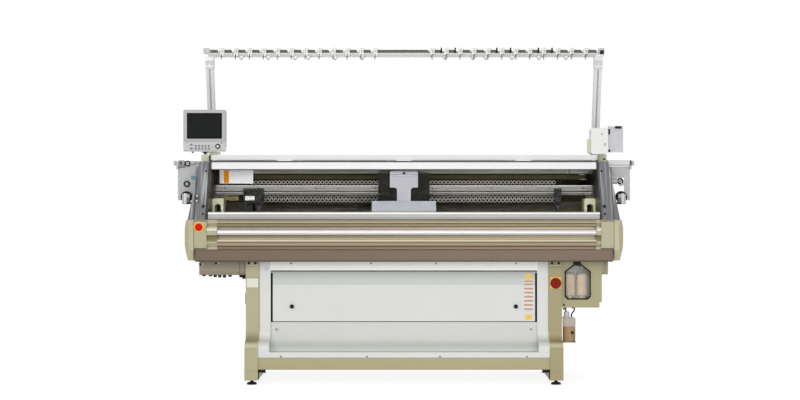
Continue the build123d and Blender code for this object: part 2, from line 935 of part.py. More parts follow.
def pulley(side):
    """Toothed pulley with a flange above and below the belt."""
    x = side * pulley_x
    drum_part = rod_z(pulley_radius, x, pulley_y, belt_low - 1, belt_high + 1)
    for z in (belt_low - 1 - pulley_flange, belt_high + 1):
        drum_part += rod_z(pulley_radius + belt_thick - 1, x, pulley_y, z, z + pulley_flange)
    return drum_part - rod_z(pulley_spindle + bearing_gap, x, pulley_y, belt_low - 10, guide_low)


def drive_belt():
    """Closed belt round both pulleys."""
    inner = pulley_radius + seat_gap
    outer = pulley_radius + belt_thick
    band = SlotCenterToCenter(2 * pulley_x, 2 * outer) - SlotCenterToCenter(2 * pulley_x, 2 * inner)
    return extrude(Plane.XY.offset(belt_low) * Pos(0, pulley_y) * band, amount=belt_high - belt_low)


def drive_motor():
    """Motor under the left pulley, bolted to the end plate."""
    half = pulley_radius + belt_thick
    top = belt_low - 6 - seat_gap
    body = block(-end_inner, -pulley_x + half, pulley_y - half, pulley_y + half, motor_low + 20, top - 8)
    body = fillet(body.edges().filter_by(Axis.Z).sort_by(Axis.X)[-2:], 6)
    body += rod_z(half - 4, -pulley_x, pulley_y, motor_low, motor_low + 20)
    return body + rod_z(half - 6, -pulley_x, pulley_y, top - 8, top)


# Front cover

def knuckles(radius, spread):
    """Hinge eyes at three places along the rod."""
    half = knuckle_length / 2 + spread
    return [rod_x(radius, x - half, x + half, hinge_y, hinge_z) for x in (-knuckle_x, 0, knuckle_x)]


def cover_top_rail():
    """Upper rail of the front cover with its three hinge eyes."""
    y_low, y_high = window_y(rail_low), window_y(rail_high - 6)
    half = pane_thick / 2
    outline = [(y_low - half - 12, rail_low), (y_high - half - 16, rail_high),
               (y_high + half + 6, rail_high), (y_low + half + 2, rail_low)]
    rail = along_x(outline, -cover_half, cover_half)
    for eye in knuckles(hinge_radius + knuckle_wall, 0):
        rail += eye
    for x in (-knuckle_x, 0, knuckle_x):
        rail += block(x - knuckle_length / 2, x + knuckle_length / 2, y_high - half - 10,
                      hinge_y, rail_high - 2, hinge_z)
    for bore in knuckles(hinge_radius + bearing_gap, 1):
        rail -= bore
    return rail - pane_slot()


def pane_outline(extra):
    """Section of the clear pane, made fatter by an extra for its slots."""
    half = pane_thick / 2 + extra
    z0, z1 = bar_high - 10 - extra, rail_low + 10 + extra
    return [(window_y(z0) - half, z0), (window_y(z0) + half, z0), (window_y(z1) + half, z1),
            (window_y(z1) - half, z1)]


def pane_slot():
    """Slot that the pane's edges sit in."""
    return along_x(pane_outline(0.0), -cover_half, cover_half)


def cover_window():
    """Clear pane of the front cover."""
    return along_x(pane_outline(0.0), -cover_half, cover_half)


def cover_lower_bar():
    """Lower bar of the front cover, with a grip lip along its front."""
    y0, y1 = bar_centre_y - bar_depth / 2, bar_centre_y + bar_depth / 2
    outline = [(y0, bar_low + 6), (y0 + 6, bar_low), (y1, bar_low), (y1 + 6, bar_high),
               (y0 + 4, bar_high), (y0, bar_high - 12), (y0 + 3, bar_high - 14), (y0 + 3, bar_low + 12),
               (y0, bar_low + 10)]
    return along_x(outline, -cover_half, cover_half) - pane_slot()


# Side covers, rear cover and table

def side_cover(side):
    """Smoked cover over one end: front, outer side and top, open below and inwards."""
    def shell(inset):
        low, high = side_cover_low, side_cover_high
        front_low, front_high = window_y(low) - 22 + inset, window_y(high) - 22 + inset
        outline = [(front_low, low), (front_high, high - inset),
                   (side_cover_rear - inset, high - inset), (side_cover_rear - inset, low)]
        inner = end_inner + plate
        body = along_x(outline, side * inner, side * (side_cover_foot - inset))
        slope = [(side_cover_foot - inset, low), (side_cover_head - inset, high),
                 (side_cover_foot + 1, high), (side_cover_foot + 1, low)]
        return body - along_y([(side * x, z) for x, z in slope], -half_depth, 0)
    return shell(0) - shell(side_cover_wall)


def side_covers():
    """Both smoked covers."""
    return Compound([one(side_cover(-1)), one(side_cover(1))])


def rear_cover():
    """Folded sheet that closes the back above the bed frame."""
    outer = [(frame_rear, frame_top), (frame_rear, rear_fold), (end_rear, post_base_z - 30),
             (end_rear, end_top), (end_rear - sheet, end_top),
             (end_rear - sheet, post_base_z - 28), (frame_rear - sheet, rear_fold + 1),
             (frame_rear - sheet, frame_top)]
    return along_x(outer, -end_inner, end_inner)


def yarn_table():
    """Folded tray for the yarn cones, with lugs that hold the front cover's hinge rod."""
    top = block(-table_half, table_half, table_front, table_rear, end_top, table_top)
    top = fillet(top.edges().filter_by(Axis.Z), 8)
    hollow = block(-table_half + sheet, table_half - sheet, table_front + sheet, table_rear - sheet,
                   end_top, table_top - sheet)
    table = top - hollow + rod_x(hinge_radius, -end_inner, end_inner, hinge_y, hinge_z)
    for side in (-1, 1):
        for x in (end_inner - 2 * plate, knuckle_x - knuckle_length, knuckle_length):
            table += block(side * x, side * (x + plate), hinge_y - hinge_radius + 1,
                           table_front + sheet, hinge_z - hinge_radius + 1, end_top)
    return table


# Yarn stand

def yarn_post(side):
    """Leaning slotted post with its foot and the bracket under the top beam."""
    rise, run = post_head_z - post_base_z, post_head_y - post_base_y
    length = sqrt(rise ** 2 + run ** 2) - 20
    lean = degrees(atan2(-run, rise))
    profile = Rectangle(post_size, post_size)
    for turn in (0, 90, 180, 270):
        profile -= Rot(0, 0, turn) * Pos(0, post_size / 2 - 4) * Rectangle(post_slot, 8)
    bar = extrude(profile, amount=length)
    post = Pos(side * post_x, post_base_y, post_base_z) * Rot(lean, 0, 0) * bar
    post -= block(side * (post_x - post_size), side * (post_x + post_size), -half_depth, half_depth,
                  post_base_z - post_size, post_base_z + 10)
    foot = block(side * (end_inner + plate), side * (post_x + post_size / 2), post_base_y - 34,
                 end_rear, post_base_z - 20, post_base_z + 55)
    head_y = post_head_y
    head = [(head_y - 6, post_head_z), (head_y + 50, post_head_z), (head_y + 50, post_head_z - 60),
            (head_y + 36, post_head_z - 76), (head_y - 2, post_head_z - 76),
            (head_y - 6, post_head_z - 60)]
    half = post_size / 2 + 2
    return post + foot + along_x(head, side * (post_x - half), side * (post_x + half))


def tension_unit(x):
    """One thread tensioner: clamp, disc and raised guide."""
    front, low = post_head_y - 4, post_head_z
    clamp = block(x - 14, x + 14, front - 16, front, low + 2, low + 34)
    disc = extrude(Plane.XZ.offset(16 - front) * Pos(x, low + 12) * RegularPolygon(12, 8), amount=8)
    guide = block(x - 6, x + 12, front - 14, front - 3, low + 34, low + unit_height)
    return [clamp, disc, guide]


def yarn_beam():
    """Top beam with end caps and the row of tensioners on its front."""
    low, high = post_head_z, post_head_z + stand_beam
    y0, y1 = post_head_y - 4, post_head_y - 4 + stand_depth
    section = [(y0, low), (y1, low), (y1, high), (y0 + 10, high), (y0 + 10, low + 24), (y0, low + 24)]
    cap = 10
    beam = along_x(section, -stand_half + cap, stand_half - cap)
    for side in (-1, 1):
        beam += block(side * (stand_half - cap), side * stand_half, y0 - 4, y1 + 4, low - 2, high + 6)
    units = []
    for i in range(units_each_side):
        x = units_first + i * units_pitch
        units += tension_unit(x) + tension_unit(-x)
    return beam + units


# Control panel

def panel_pin_y():
    """Depth of the panel's tilt pin."""
    return pillar_front + pillar_depth / 2


def control_panel():
    """Panel housing with its screen recess, key pad and the fork round the pillar's ear."""
    x0, x1 = panel_x - panel_width / 2, panel_x + panel_width / 2
    y0, y1 = panel_front, panel_front + panel_depth
    case = block(x0, x1, y0, y1, panel_low, panel_high)
    case = fillet(case.edges().filter_by(Axis.Y), 9)
    case -= block(x0, x1, y0 + panel_plate, y1, panel_low, panel_rear_low)
    top = panel_high - screen_top_margin
    case -= block(panel_x - screen_width / 2, panel_x + screen_width / 2, y0, y0 + bezel_depth,
                  top - screen_height, top)
    for column in range(5):
        for row in range(2):
            x, z = pad_x + column * pad_pitch, lower_key_z + row * pad_row
            case += block(x - pad_key / 2, x + pad_key / 2, y0 - pad_relief, y0, z - pad_key / 2,
                          z + pad_key / 2)
    case -= rod_y(dial_radius / 2 + bearing_gap, dial_x, y0, y0 + dial_radius, dial_z)
    for z in (upper_key_z, lower_key_z):
        case -= key_block(z, bearing_gap, key_depth)
    return case + panel_fork()


def panel_fork():
    """Two cheeks with the tilt pin between them."""
    pin_y, centre = panel_pin_y(), -(pillar_x + pillar_width / 2)
    reach = fork_half + seat_gap + fork_cheek
    fork = rod_x(fork_pin, centre - reach, centre + reach, pin_y, panel_hinge_z)
    for turn in (-1, 1):
        near, far = centre + turn * (fork_half + seat_gap), centre + turn * reach
        fork += block(near, far, pin_y - fork_eye + 1, pin_y + fork_eye - 1, panel_hinge_z,
                      panel_rear_low)
        fork += rod_x(fork_eye - 1, near, far, pin_y, panel_hinge_z)
    return fork


def key_block(z, spread, depth):
    """A push key's body, made larger by a spread for its well."""
    half_x, half_z = key_size / 2 + spread, key_height / 2 + spread
    return block(key_x - half_x, key_x + half_x, panel_front, panel_front + depth, z - half_z,
                 z + half_z)


def panel_key(z):
    """Push key standing out of the panel by a little more than its travel."""
    cap = block(key_x - key_size / 2, key_x + key_size / 2, panel_front - key_travel - 1,
                panel_front, z - key_height / 2, z + key_height / 2)
    return cap + key_block(z, 0, key_depth - key_travel - seat_gap)


def panel_dial():
    """Round dial with its spindle in the panel."""
    y0, y1 = panel_front - 9, panel_front - seat_gap
    spindle = rod_y(dial_radius / 2, dial_x, y1, panel_front + dial_radius - 2, dial_z)
    return rod_y(dial_radius, dial_x, y0, y1, dial_z) + spindle


# Right-hand boxes

def electrical_box():
    """Rounded housing on the right pillar."""
    body = block(box_x0, box_x1, box_front, box_front + box_depth, box_low, box_high)
    return fillet(body.edges().filter_by(Axis.Y), 14)


def clear_board():
    """Clear board beside the electrical box, on two clips."""
    y0 = box_front + 20
    board = block(box_x1, board_right, y0, y0 + 4, board_low, board_high)
    board = fillet(board.edges().filter_by(Axis.Y), 6)
    for z in (board_low + 14, board_high - 40):
        board += block(box_x1, box_x1 + 12, y0 - 6, y0 + 10, z, z + 18)
    return board


def filter_lid_outline(margin):
    """Outline of the filter lid, cut deeper at its top corners, grown by a margin."""
    x0, x1 = lid_x0 - margin, lid_x1 + margin
    z0, z1 = lid_low - margin, lid_high + margin
    foot, cut, drop = lid_corner, lid_head_cut, lid_head_drop
    return [(x0 + foot, z0), (x1 - foot, z0), (x1, z0 + foot), (x1, z1 - drop), (x1 - cut, z1),
            (x0 + cut, z1), (x0, z1 - drop), (x0, z0 + foot)]


def filter_box():
    """Sheet box on the right leg with an opening for the lid and a small side box."""
    y1 = filter_front + filter_depth
    outline = [(leg_outer, filter_low), (filter_right - 14, filter_low), (filter_right - 14, filter_low + 32),
               (filter_right, filter_low + 32), (filter_right, leg_top), (leg_outer, leg_top)]
    box = along_y(outline, filter_front, y1)
    box -= block(leg_outer + filter_wall, filter_right - filter_flange, filter_front + filter_wall,
                 y1 - filter_wall, filter_low + filter_wall, leg_top - filter_wall)
    box -= along_y(filter_lid_outline(-6), filter_front, filter_front + filter_wall)
    box += block(filter_right, filter_right + filter_side_width, filter_front + 10, y1,
                 leg_top - filter_side_height, leg_top)
    hinge, pin_y = lid_hinge_x(), filter_front - lid_eye - 1
    for z in lid_eye_heights():
        box += block(hinge - lid_eye, hinge + lid_eye, pin_y - lid_pin, filter_front, z - 9, z - seat_gap)
        box += rod_z(lid_pin, hinge, pin_y, z - 9, z + lid_eye_length)
    return box


def lid_hinge_x():
    """Place of the filter lid's hinge line."""
    return lid_x1 + 7


def lid_eye_heights():
    """Heights at which the lid's two hinge eyes start."""
    return (lid_low + lid_corner + 8, lid_high - lid_head_drop - 28)


def filter_lid():
    """Clear lid with two hinge eyes and a catch at its top edge."""
    y1 = filter_front - seat_gap
    y0 = y1 - lid_thick
    lid = along_y(filter_lid_outline(0), y0, y1)
    hinge, pin_y = lid_hinge_x(), filter_front - lid_eye - 1
    for z in lid_eye_heights():
        top = z + lid_eye_length
        eye = rod_z(lid_eye, hinge, pin_y, z, top) + block(lid_x1 - 2, hinge, y0, y1 - 1, z, top)
        lid += eye - rod_z(lid_pin + bearing_gap, hinge, pin_y, z, top)
    middle = (lid_x0 + lid_x1) / 2
    catch = block(middle - 22, middle + 22, y0 - 10, y0, lid_high - 14, lid_high + 4)
    return lid + fillet(catch.edges().filter_by(Axis.X), 3)


def filter_cartridges():
    """Two filter cartridges standing in the box."""
    back = filter_front + filter_depth - filter_wall
    items = []
    for x in (leg_outer + 2 * cartridge_radius, filter_right - cartridge_inset):
        y = back - cartridge_radius - 6
        can = rod_z(cartridge_radius, x, y, cartridge_low, cartridge_high)
        foot = rod_z(cartridge_foot, x, y, filter_low + filter_wall, cartridge_low)
        items.append(one(can + foot))
    return Compound(items)


def oil_bottle():
    """Clear bottle with a short neck and its cap."""
    body = rod_z(bottle_radius, bottle_x, bottle_y, bottle_low, bottle_high)
    body = chamfer(body.edges().group_by(Axis.Z)[-1], 8)
    neck_x = bottle_x - bottle_radius / 2 + 3
    body += rod_z(12, neck_x, bottle_y, bottle_high - 2, bottle_high + 10)
    return body + rod_z(14, neck_x, bottle_y, bottle_high + 10, bottle_cap_high)


def oil_hose():
    """Hose from the filter box down into the bottle's shoulder."""
    x_top, x_low = bottle_x + 30, bottle_x + 14
    route = FilletPolyline((x_top, bottle_y, filter_low), (x_top, bottle_y, filter_low - 18),
                           (x_low, bottle_y, bottle_high + 18), (x_low, bottle_y, bottle_high),
                           radius=9)
    ring = Plane(origin=route @ 0, z_dir=route % 0) * Circle(hose_radius)
    return sweep(ring, path=route)


def left_box():
    """Closed sheet box under the left end."""
    box = block(-under_left, -leg_outer, under_front, under_front + under_depth, under_low, leg_top)
    return chamfer(box.edges().filter_by(Axis.X).sort_by(Axis.Z)[:2], 12)


def main_switch():
    """Round rotary switch with a raised grip, on its spindle."""
    back = leg_front - sheet
    disc = rod_y(switch_radius, switch_x, back - 12, back - seat_gap, switch_z)
    disc = fillet(disc.edges().group_by(Axis.Y)[0], 2)
    grip = block(switch_x - switch_radius + 5, switch_x + switch_radius - 5, back - 26, back - 12,
                 switch_z - 8, switch_z + 8)
    grip = fillet(grip.edges().filter_by(Axis.Y), 6)
    return disc + grip + rod_y(6, switch_x, back - seat_gap, back + 15, switch_z)


def right_leg():
    """Right leg with the switch plate, its bore and the bottle shelf."""
    half = switch_plate_size / 2
    body = leg() + block(switch_x - half, switch_x + half, leg_front - sheet, leg_front,
                         switch_z - half - 4, switch_z + half + 4)
    body -= rod_y(6 + bearing_gap, switch_x, leg_front - sheet, leg_front + 14, switch_z)
    return body + bottle_shelf()


# Side plates and feed rollers

def side_plate_outline(full):
    """Front outline of a side plate, the left one full and the right one an arm and a strip."""
    inner, outer = end_inner + plate, side_reach - side_cap - tray_round
    neck, low, strip = inner + side_neck, wheel_z - side_plate_width / 12, outer - side_neck / 2
    if full:
        return [(inner, side_arm_low), (inner, side_arm_high), (neck, side_arm_high + side_rise),
                (outer, side_arm_high + side_rise), (outer, low), (neck + side_neck / 2, low),
                (neck, low + side_neck / 2), (neck, side_arm_low)]
    return [(inner, side_arm_low), (inner, side_arm_high), (outer, side_arm_high), (outer, low),
            (strip, low), (strip, side_arm_low)]


def side_plate(side, length, full):
    """Plate outside an end with its discs, arch, motor box and the feed roller's spindle."""
    y0, y1 = side_plate_front, side_plate_front + side_plate_thick
    body = along_y([(side * x, z) for x, z in side_plate_outline(full)], y0, y1)
    wheel_x = side * (side_reach - wheel_inset)
    arch = rod_y(wheel_radius, wheel_x, y0 - wheel_depth, y0, wheel_z)
    body += arch - block(wheel_x - 2 * wheel_radius, wheel_x + 2 * wheel_radius, y0 - wheel_depth, y0,
                         wheel_z - 2 * wheel_radius, wheel_z)
    body += block(wheel_x - motor_half, wheel_x + motor_half, y0 - motor_depth, y1,
                  wheel_z - motor_drop, wheel_z + motor_rise)
    upper_x = side * (side_reach - upper_disc_inset)
    for x, z, radius in ((wheel_x, lower_disc_z, lower_disc_radius),
                         (upper_x, upper_disc_z, upper_disc_radius)):
        body += rod_y(radius, x, y0 - plate, y0, z)
        body += rod_y(feed_spindle, x, y0 - 2 * plate, y0, z)
    ear_in, ear_out = side * (feed_outer + seat_gap), side * (side_reach - side_cap)
    body += block(ear_in, ear_out, feed_y - 2 * side_plate_thick, y1, side_arm_high - side_rise / 2,
                  feed_z + 2 * side_plate_thick)
    body += rod_x(side_cap, ear_out, side * side_reach, feed_y, feed_z)
    inner_end = side * (feed_outer - length - side_plate_thick)
    return body + rod_x(feed_spindle, inner_end, ear_in, feed_y, feed_z)


def feed_roller(side, length):
    """White feed roller on its spindle."""
    x0, x1 = side * (feed_outer - length), side * feed_outer
    return rod_x(feed_radius, x0, x1, feed_y, feed_z) - rod_x(
        feed_spindle + bearing_gap, x0, x1, feed_y, feed_z)


def parts():
    """Every piece of the machine under its own name."""
    return {
        "leg_left": mirrored(leg()),
        "leg_right": right_leg(),
        "levelling_feet": levelling_feet(),
        "cross_beams": cross_beams(),
        "bed_frame": bed_frame(),
        "takedown_roller": drum(roller_radius, roller_places()[0]),
        "nip_roller": drum(nip_radius, roller_places()[1]),
        "front_needle_bed": needle_bed(-1),
        "rear_needle_bed": needle_bed(1),
        "skirt_frame": skirt_frame(),
        "skirt_door": skirt_door(),
        "door_knob_left": door_knob(-1),
        "door_knob_right": door_knob(1),
        "fascia": fascia(),
        "front_tray": front_tray(),
        "corner_left": corner_left(),
        "corner_right": corner(1, tray_right),
        "estop_button": estop_button(),
        "operation_bar": operation_bar(),
        "end_cover_left": end_cover(-1),
        "end_cover_right": end_cover(1),
        "end_frame_left": end_frame(-1) + drive_motor(),
        "end_frame_right": end_frame(1),
        "carrier_rail": carrier_rail(),
        "yarn_carrier_left": yarn_carrier(left_carrier_x, left_carrier_width),
        "yarn_carrier_right": yarn_carrier(right_carrier_x, right_carrier_width),
        "carriage_body": carriage_body(),
        "carriage_bridge": carriage_bridge(),
        "carriage_cover": carriage_cover(),
        "perforated_guard": perforated_guard(),
        "guide_beam": guide_beam(),
        "drive_pulley": pulley(-1),
        "idle_pulley": pulley(1),
        "drive_belt": drive_belt(),
        "cover_top_rail": cover_top_rail(),
        "cover_window": cover_window(),
        "cover_lower_bar": cover_lower_bar(),
        "side_covers": side_covers(),
        "rear_cover": rear_cover(),
        "yarn_table": yarn_table(),
        "yarn_post_left": yarn_post(-1),
        "yarn_post_right": yarn_post(1),
        "yarn_beam": yarn_beam(),
        "control_panel": control_panel(),
        "panel_key_upper": panel_key(upper_key_z),
        "panel_key_lower": panel_key(lower_key_z),
        "panel_dial": panel_dial(),
        "electrical_box": electrical_box(),
        "clear_board": clear_board(),
        "side_plate_left": side_plate(-1, left_feed_length, True),
        "side_plate_right": side_plate(1, right_feed_length, False),
        "feed_roller_left": feed_roller(-1, left_feed_length),
        "feed_roller_right": feed_roller(1, right_feed_length),
        "main_switch": main_switch(),
        "filter_box": filter_box(),
        "filter_lid": filter_lid(),
        "filter_cartridges": filter_cartridges(),
        "oil_bottle": oil_bottle(),
        "oil_hose": oil_hose(),
        "left_box": left_box(),
    }


os.makedirs("parts", exist_ok=True)
for name, shape in parts().items():
    export_step(shape, f"parts/{name}.step")
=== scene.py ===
import json
import math

import bmesh
import bpy
from mathutils import Matrix, Vector


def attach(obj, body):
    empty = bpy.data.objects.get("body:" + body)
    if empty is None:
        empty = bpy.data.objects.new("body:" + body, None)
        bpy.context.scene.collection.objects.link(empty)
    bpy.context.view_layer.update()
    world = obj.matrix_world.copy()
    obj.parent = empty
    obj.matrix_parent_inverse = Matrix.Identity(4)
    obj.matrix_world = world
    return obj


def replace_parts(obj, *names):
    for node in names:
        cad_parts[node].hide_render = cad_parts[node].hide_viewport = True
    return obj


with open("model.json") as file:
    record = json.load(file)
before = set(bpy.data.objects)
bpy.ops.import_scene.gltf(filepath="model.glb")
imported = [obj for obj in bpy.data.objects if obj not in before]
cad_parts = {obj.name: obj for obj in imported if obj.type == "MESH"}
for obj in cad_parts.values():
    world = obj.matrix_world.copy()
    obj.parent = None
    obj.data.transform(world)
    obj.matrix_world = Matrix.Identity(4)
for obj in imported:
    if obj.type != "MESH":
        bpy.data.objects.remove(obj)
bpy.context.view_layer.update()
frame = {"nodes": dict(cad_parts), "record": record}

# Top beam and tensioners; all places and sizes are in metres
BEAM_FRONT, BEAM_DEPTH, BEAM_LOW, BEAM_HIGH, BEAM_HALF = 0.196, 0.032, 1.937, 1.981, 1.224
STRIP_LOW, STRIP_REACH, STRIP_SLANT = BEAM_LOW + 0.025, 1.183, 0.010
STRIP_AFTER, STRIP_BEFORE_LEFT, STRIP_BEFORE_RIGHT = 0.010, 0.022, 0.017
UNIT_FIRST, UNIT_PITCH, UNIT_COUNT = 0.174, 0.085, 12
LOOP_PLACES = (-0.993, -0.828, -0.664, -0.584, -0.420, -0.255,
               0.2505, 0.421, 0.500, 0.659, 0.823, 0.988)
TAB_PLACES = (0.2282, 0.3124, 0.5661, 0.6503, 0.8199, 0.9035)

# Hooks, loops and their plates as steps of (sideways, upwards) from a place on the beam's lower edge
HOOK_LEFT = ((-0.002, 0.014), (-0.003, 0.002), (-0.003, -0.016))
HOOK_RIGHT = ((0.010, 0.014), (-0.006, 0.006), (-0.001, -0.017))
LOOP_WIRE = ((-0.015, 0.004), (-0.005, -0.017), (0.004, -0.017), (0.018, 0.004))
LOOP_PLATE = ((-0.013, 0.004), (-0.0045, -0.015), (0.0035, -0.015), (0.016, 0.004))
TAB_PLATE = ((-0.006, 0.022), (0.003, 0.022), (0.006, 0.0565), (-0.003, 0.0565))

# Guard, with its rows of holes as (height, radius, height of the row), needle beds and rail
GUARD_FRONT, GUARD_HALF, GUARD_REACH = 0.100, 0.950, 1.1275
GUARD_LOW, GUARD_BAND, GUARD_HIGH = 1.035, 1.182, 1.2455
GUARD_THICK, RIM_WIDTH, RIM_HIGH, HOLE_SHADE_HALF = 0.0016, 0.0026, 0.0014, 0.0095
HOLE_PITCH, HOLE_COUNT, CELL_CUT = 0.0237, 78, 0.41
HOLE_ROWS = ((1.0607, 0.0082, 0.0182), (1.0789, 0.0082, 0.0182), (1.1700, 0.0084, 0.0205))
GAP_Y, CREST_Z, BED_HALF, BED_LEAN = -0.090, 0.990, 0.950, math.radians(45)
NEEDLE_PITCH, NEEDLE_SIZE = 0.0060, (0.0016, 0.180, 0.0026, 1)
RAIL_HALF, HEAD_HALF = 1.1115, 0.0815

# Faces that look forwards
LEG_FRONT, LEG_TOE, SKIRT_FRONT, SKIRT_TOE, DOOR_FRONT = -0.320, -0.410, -0.305, -0.395, -0.300
CORNER_FRONT, BRIDGE_FRONT, COVER_FRONT, LEFT_BOX_FRONT = -0.472, -0.209, -0.290, -0.290
PANEL_FRONT, DIAL_FRONT, PLATE_FRONT = -0.112, -0.121, -0.108

# Control panel
PANEL_X, PANEL_HALF = -1.1815, 0.119
SCREEN_TOP, SCREEN_WIDTH, SCREEN_HEIGHT, SCREEN_DEPTH = 1.580, 0.208, 0.153, 0.004
DIAL_X, DIAL_Z = -1.102, 1.382
PAD_X, PAD_PITCH, PAD_COLUMNS, PAD_ROWS = -1.232, 0.0194, 5, (1.369, 1.385)

# Ends, legs, switch, filter box and bottle
STOP_X, STOP_Z = -1.170, 0.9105
LEG_OUTER, LEG_INNER = -0.9165, -0.8415
INLET_X, INLET_Z = -1.196, 1.074
SWITCH_X, SWITCH_Z = 0.880, 0.583
SLOPE_LOW, SLOPE_HIGH = (-0.436, 0.951), (-0.2188, 1.290)
LID_LEFT, LID_RIGHT, LID_LOW, LID_HIGH = 0.933, 1.085, 0.487, 0.691
CARTRIDGE_PLACES, CARTRIDGE_Y, PLEAT_REACH, PLEAT_COUNT = (0.973, 1.047), -0.187, 0.0276, 22
BOTTLE_X, BOTTLE_Y, BOTTLE_RADIUS, BOTTLE_WALL = 0.963, -0.270, 0.038, 0.0016

# Camera, lamps as (place, target, size, power), world and floor
CAMERA_PLACE, CAMERA_SHIFT = (0, -10.12, 1.10), (-0.0049, -0.0075)
CAMERA_LENS, CAMERA_SENSOR = 76.05, 36
LAMPS = {
    "key": ((-1.2, -7.0, 2.6), (0, 0, 0.8), (5.0, 2.4), 188),
    "fill": ((1.8, -7.0, 0.8), (0, 0, 0.7), (3.0, 1.4), 72),
    "top": ((0, 0.0, 5.5), (0, 0, 1.0), (6.0, 2.6), 60),
}
WORLD_STRENGTH, FLOOR_SIZE = 0.42, 60
FLOOR_GREY, FLOOR_GLOSS, FLOOR_GLOW, FLOOR_SHADE = 0.8, 0.9, 0.86, 0.34

# Patterns of the finishes: drift of shade, grain, drawn lines, worn edges, streaks of painted reflection and
# bands, many of which are painted shade and painted highlight
DRIFT_FINE_SCALE, DRIFT_BROAD_SHARE, SMUDGE_SCALE = 60, 0.8, 7
GRAIN_DEPTH, GLOSS_SWING = 0.0003, 0.14
LINE_STRETCH, LINE_SHADE, LINE_DEPTH = (3, 700, 700), 0.2, 0.0002
EDGE_RADIUS, WEAR_SCALE, WEAR_GAIN = 0.0016, 90, 14.0
STREAK_GAIN, STREAK_MOST = 6.0, 0.8
WHOLE_WIDTH = 2

# Edges with less than this angle between their faces are shaded smooth
SMOOTH_BELOW = math.radians(38)


# Colours

def colour(code):
    """A colour written as in a picture, turned to the light values that Blender mixes."""
    parts = [int(code[i:i + 2], 16) / 255 for i in (0, 2, 4)]
    light = [p / 12.92 if p <= 0.04045 else ((p + 0.055) / 1.055) ** 2.4 for p in parts]
    return (*light, 1.0)


# Effects that several finishes share

def new_group(name, inputs, outputs):
    """An empty shader group with named sockets."""
    tree = bpy.data.node_groups.new(name, "ShaderNodeTree")
    for label, kind, value in inputs:
        socket = tree.interface.new_socket(label, in_out="INPUT", socket_type=kind)
        socket.default_value = value
    for label, kind in outputs:
        tree.interface.new_socket(label, in_out="OUTPUT", socket_type=kind)
    return tree, tree.nodes.new("NodeGroupInput"), tree.nodes.new("NodeGroupOutput")


def link(tree, source, target):
    """Joins two sockets of a shader tree."""
    tree.links.new(source, target)


def math_node(tree, operation, first, second):
    """A maths node whose inputs are sockets or plain numbers."""
    node = tree.nodes.new("ShaderNodeMath")
    node.operation = operation
    for socket, value in zip(node.inputs, (first, second)):
        if isinstance(value, (int, float)):
            socket.default_value = value
        else:
            link(tree, value, socket)
    return node.outputs[0]


def noise_node(tree, scale, detail, stretch=None):
    """Noise over the object's own coordinates, stretched where a vector is given."""
    place = tree.nodes.new("ShaderNodeTexCoord").outputs["Object"]
    if stretch:
        mapping = tree.nodes.new("ShaderNodeMapping")
        mapping.inputs["Scale"].default_value = stretch
        link(tree, place, mapping.inputs["Vector"])
        place = mapping.outputs["Vector"]
    noise = tree.nodes.new("ShaderNodeTexNoise")
    noise.inputs["Detail"].default_value = detail
    link(tree, place, noise.inputs["Vector"])
    if isinstance(scale, (int, float)):
        noise.inputs["Scale"].default_value = scale
    else:
        link(tree, scale, noise.inputs["Scale"])
    return noise.outputs["Fac"]


def make_drift():
    """Slow change of shade over a painted or moulded surface."""
    tree, given, out = new_group(
        "shade_drift",
        [("Colour", "NodeSocketColor", (0.5, 0.5, 0.5, 1)), ("Amount", "NodeSocketFloat", 0.1),
         ("Scale", "NodeSocketFloat", 3.0)],
        [("Colour", "NodeSocketColor")])
    broad = noise_node(tree, given.outputs["Scale"], 3)
    fine = noise_node(tree, DRIFT_FINE_SCALE, 4)
    mixed = math_node(tree, "ADD", math_node(tree, "MULTIPLY", broad, DRIFT_BROAD_SHARE),
                      math_node(tree, "MULTIPLY", fine, 1.0 - DRIFT_BROAD_SHARE))
    swing = math_node(tree, "MULTIPLY", math_node(tree, "SUBTRACT", mixed, 0.5),
                      given.outputs["Amount"])
    bright = tree.nodes.new("ShaderNodeHueSaturation")
    link(tree, math_node(tree, "ADD", swing, 1.0), bright.inputs["Value"])
    link(tree, given.outputs["Colour"], bright.inputs["Color"])
    link(tree, bright.outputs["Color"], out.inputs["Colour"])
    return tree


def make_grain():
    """Fine relief of powder coat, cast metal or moulded plastic, with its change of gloss."""
    tree, given, out = new_group(
        "fine_grain",
        [("Scale", "NodeSocketFloat", 900.0), ("Gloss", "NodeSocketFloat", 0.4),
         ("Swing", "NodeSocketFloat", 0.1)],
        [("Height", "NodeSocketFloat"), ("Roughness", "NodeSocketFloat")])
    grain = noise_node(tree, given.outputs["Scale"], 2)
    smudge = noise_node(tree, SMUDGE_SCALE, 4)
    swing = math_node(tree, "MULTIPLY", math_node(tree, "SUBTRACT", smudge, 0.5),
                      given.outputs["Swing"])
    link(tree, grain, out.inputs["Height"])
    link(tree, math_node(tree, "ADD", given.outputs["Gloss"], swing), out.inputs["Roughness"])
    return tree


def make_lines():
    """Fine drawn or ground lines along the machine's width."""
    tree, given, out = new_group(
        "drawn_lines", [("Gloss", "NodeSocketFloat", 0.3), ("Swing", "NodeSocketFloat", 0.2)],
        [("Height", "NodeSocketFloat"), ("Roughness", "NodeSocketFloat"),
         ("Shade", "NodeSocketFloat")])
    lines = noise_node(tree, 1.0, 3, LINE_STRETCH)
    swing = math_node(tree, "MULTIPLY", math_node(tree, "SUBTRACT", lines, 0.5),
                      given.outputs["Swing"])
    link(tree, lines, out.inputs["Height"])
    link(tree, math_node(tree, "ADD", given.outputs["Gloss"], swing), out.inputs["Roughness"])
    shade = math_node(tree, "MULTIPLY", lines, LINE_SHADE)
    link(tree, math_node(tree, "ADD", 1.0 - LINE_SHADE / 2, shade), out.inputs["Shade"])
    return tree


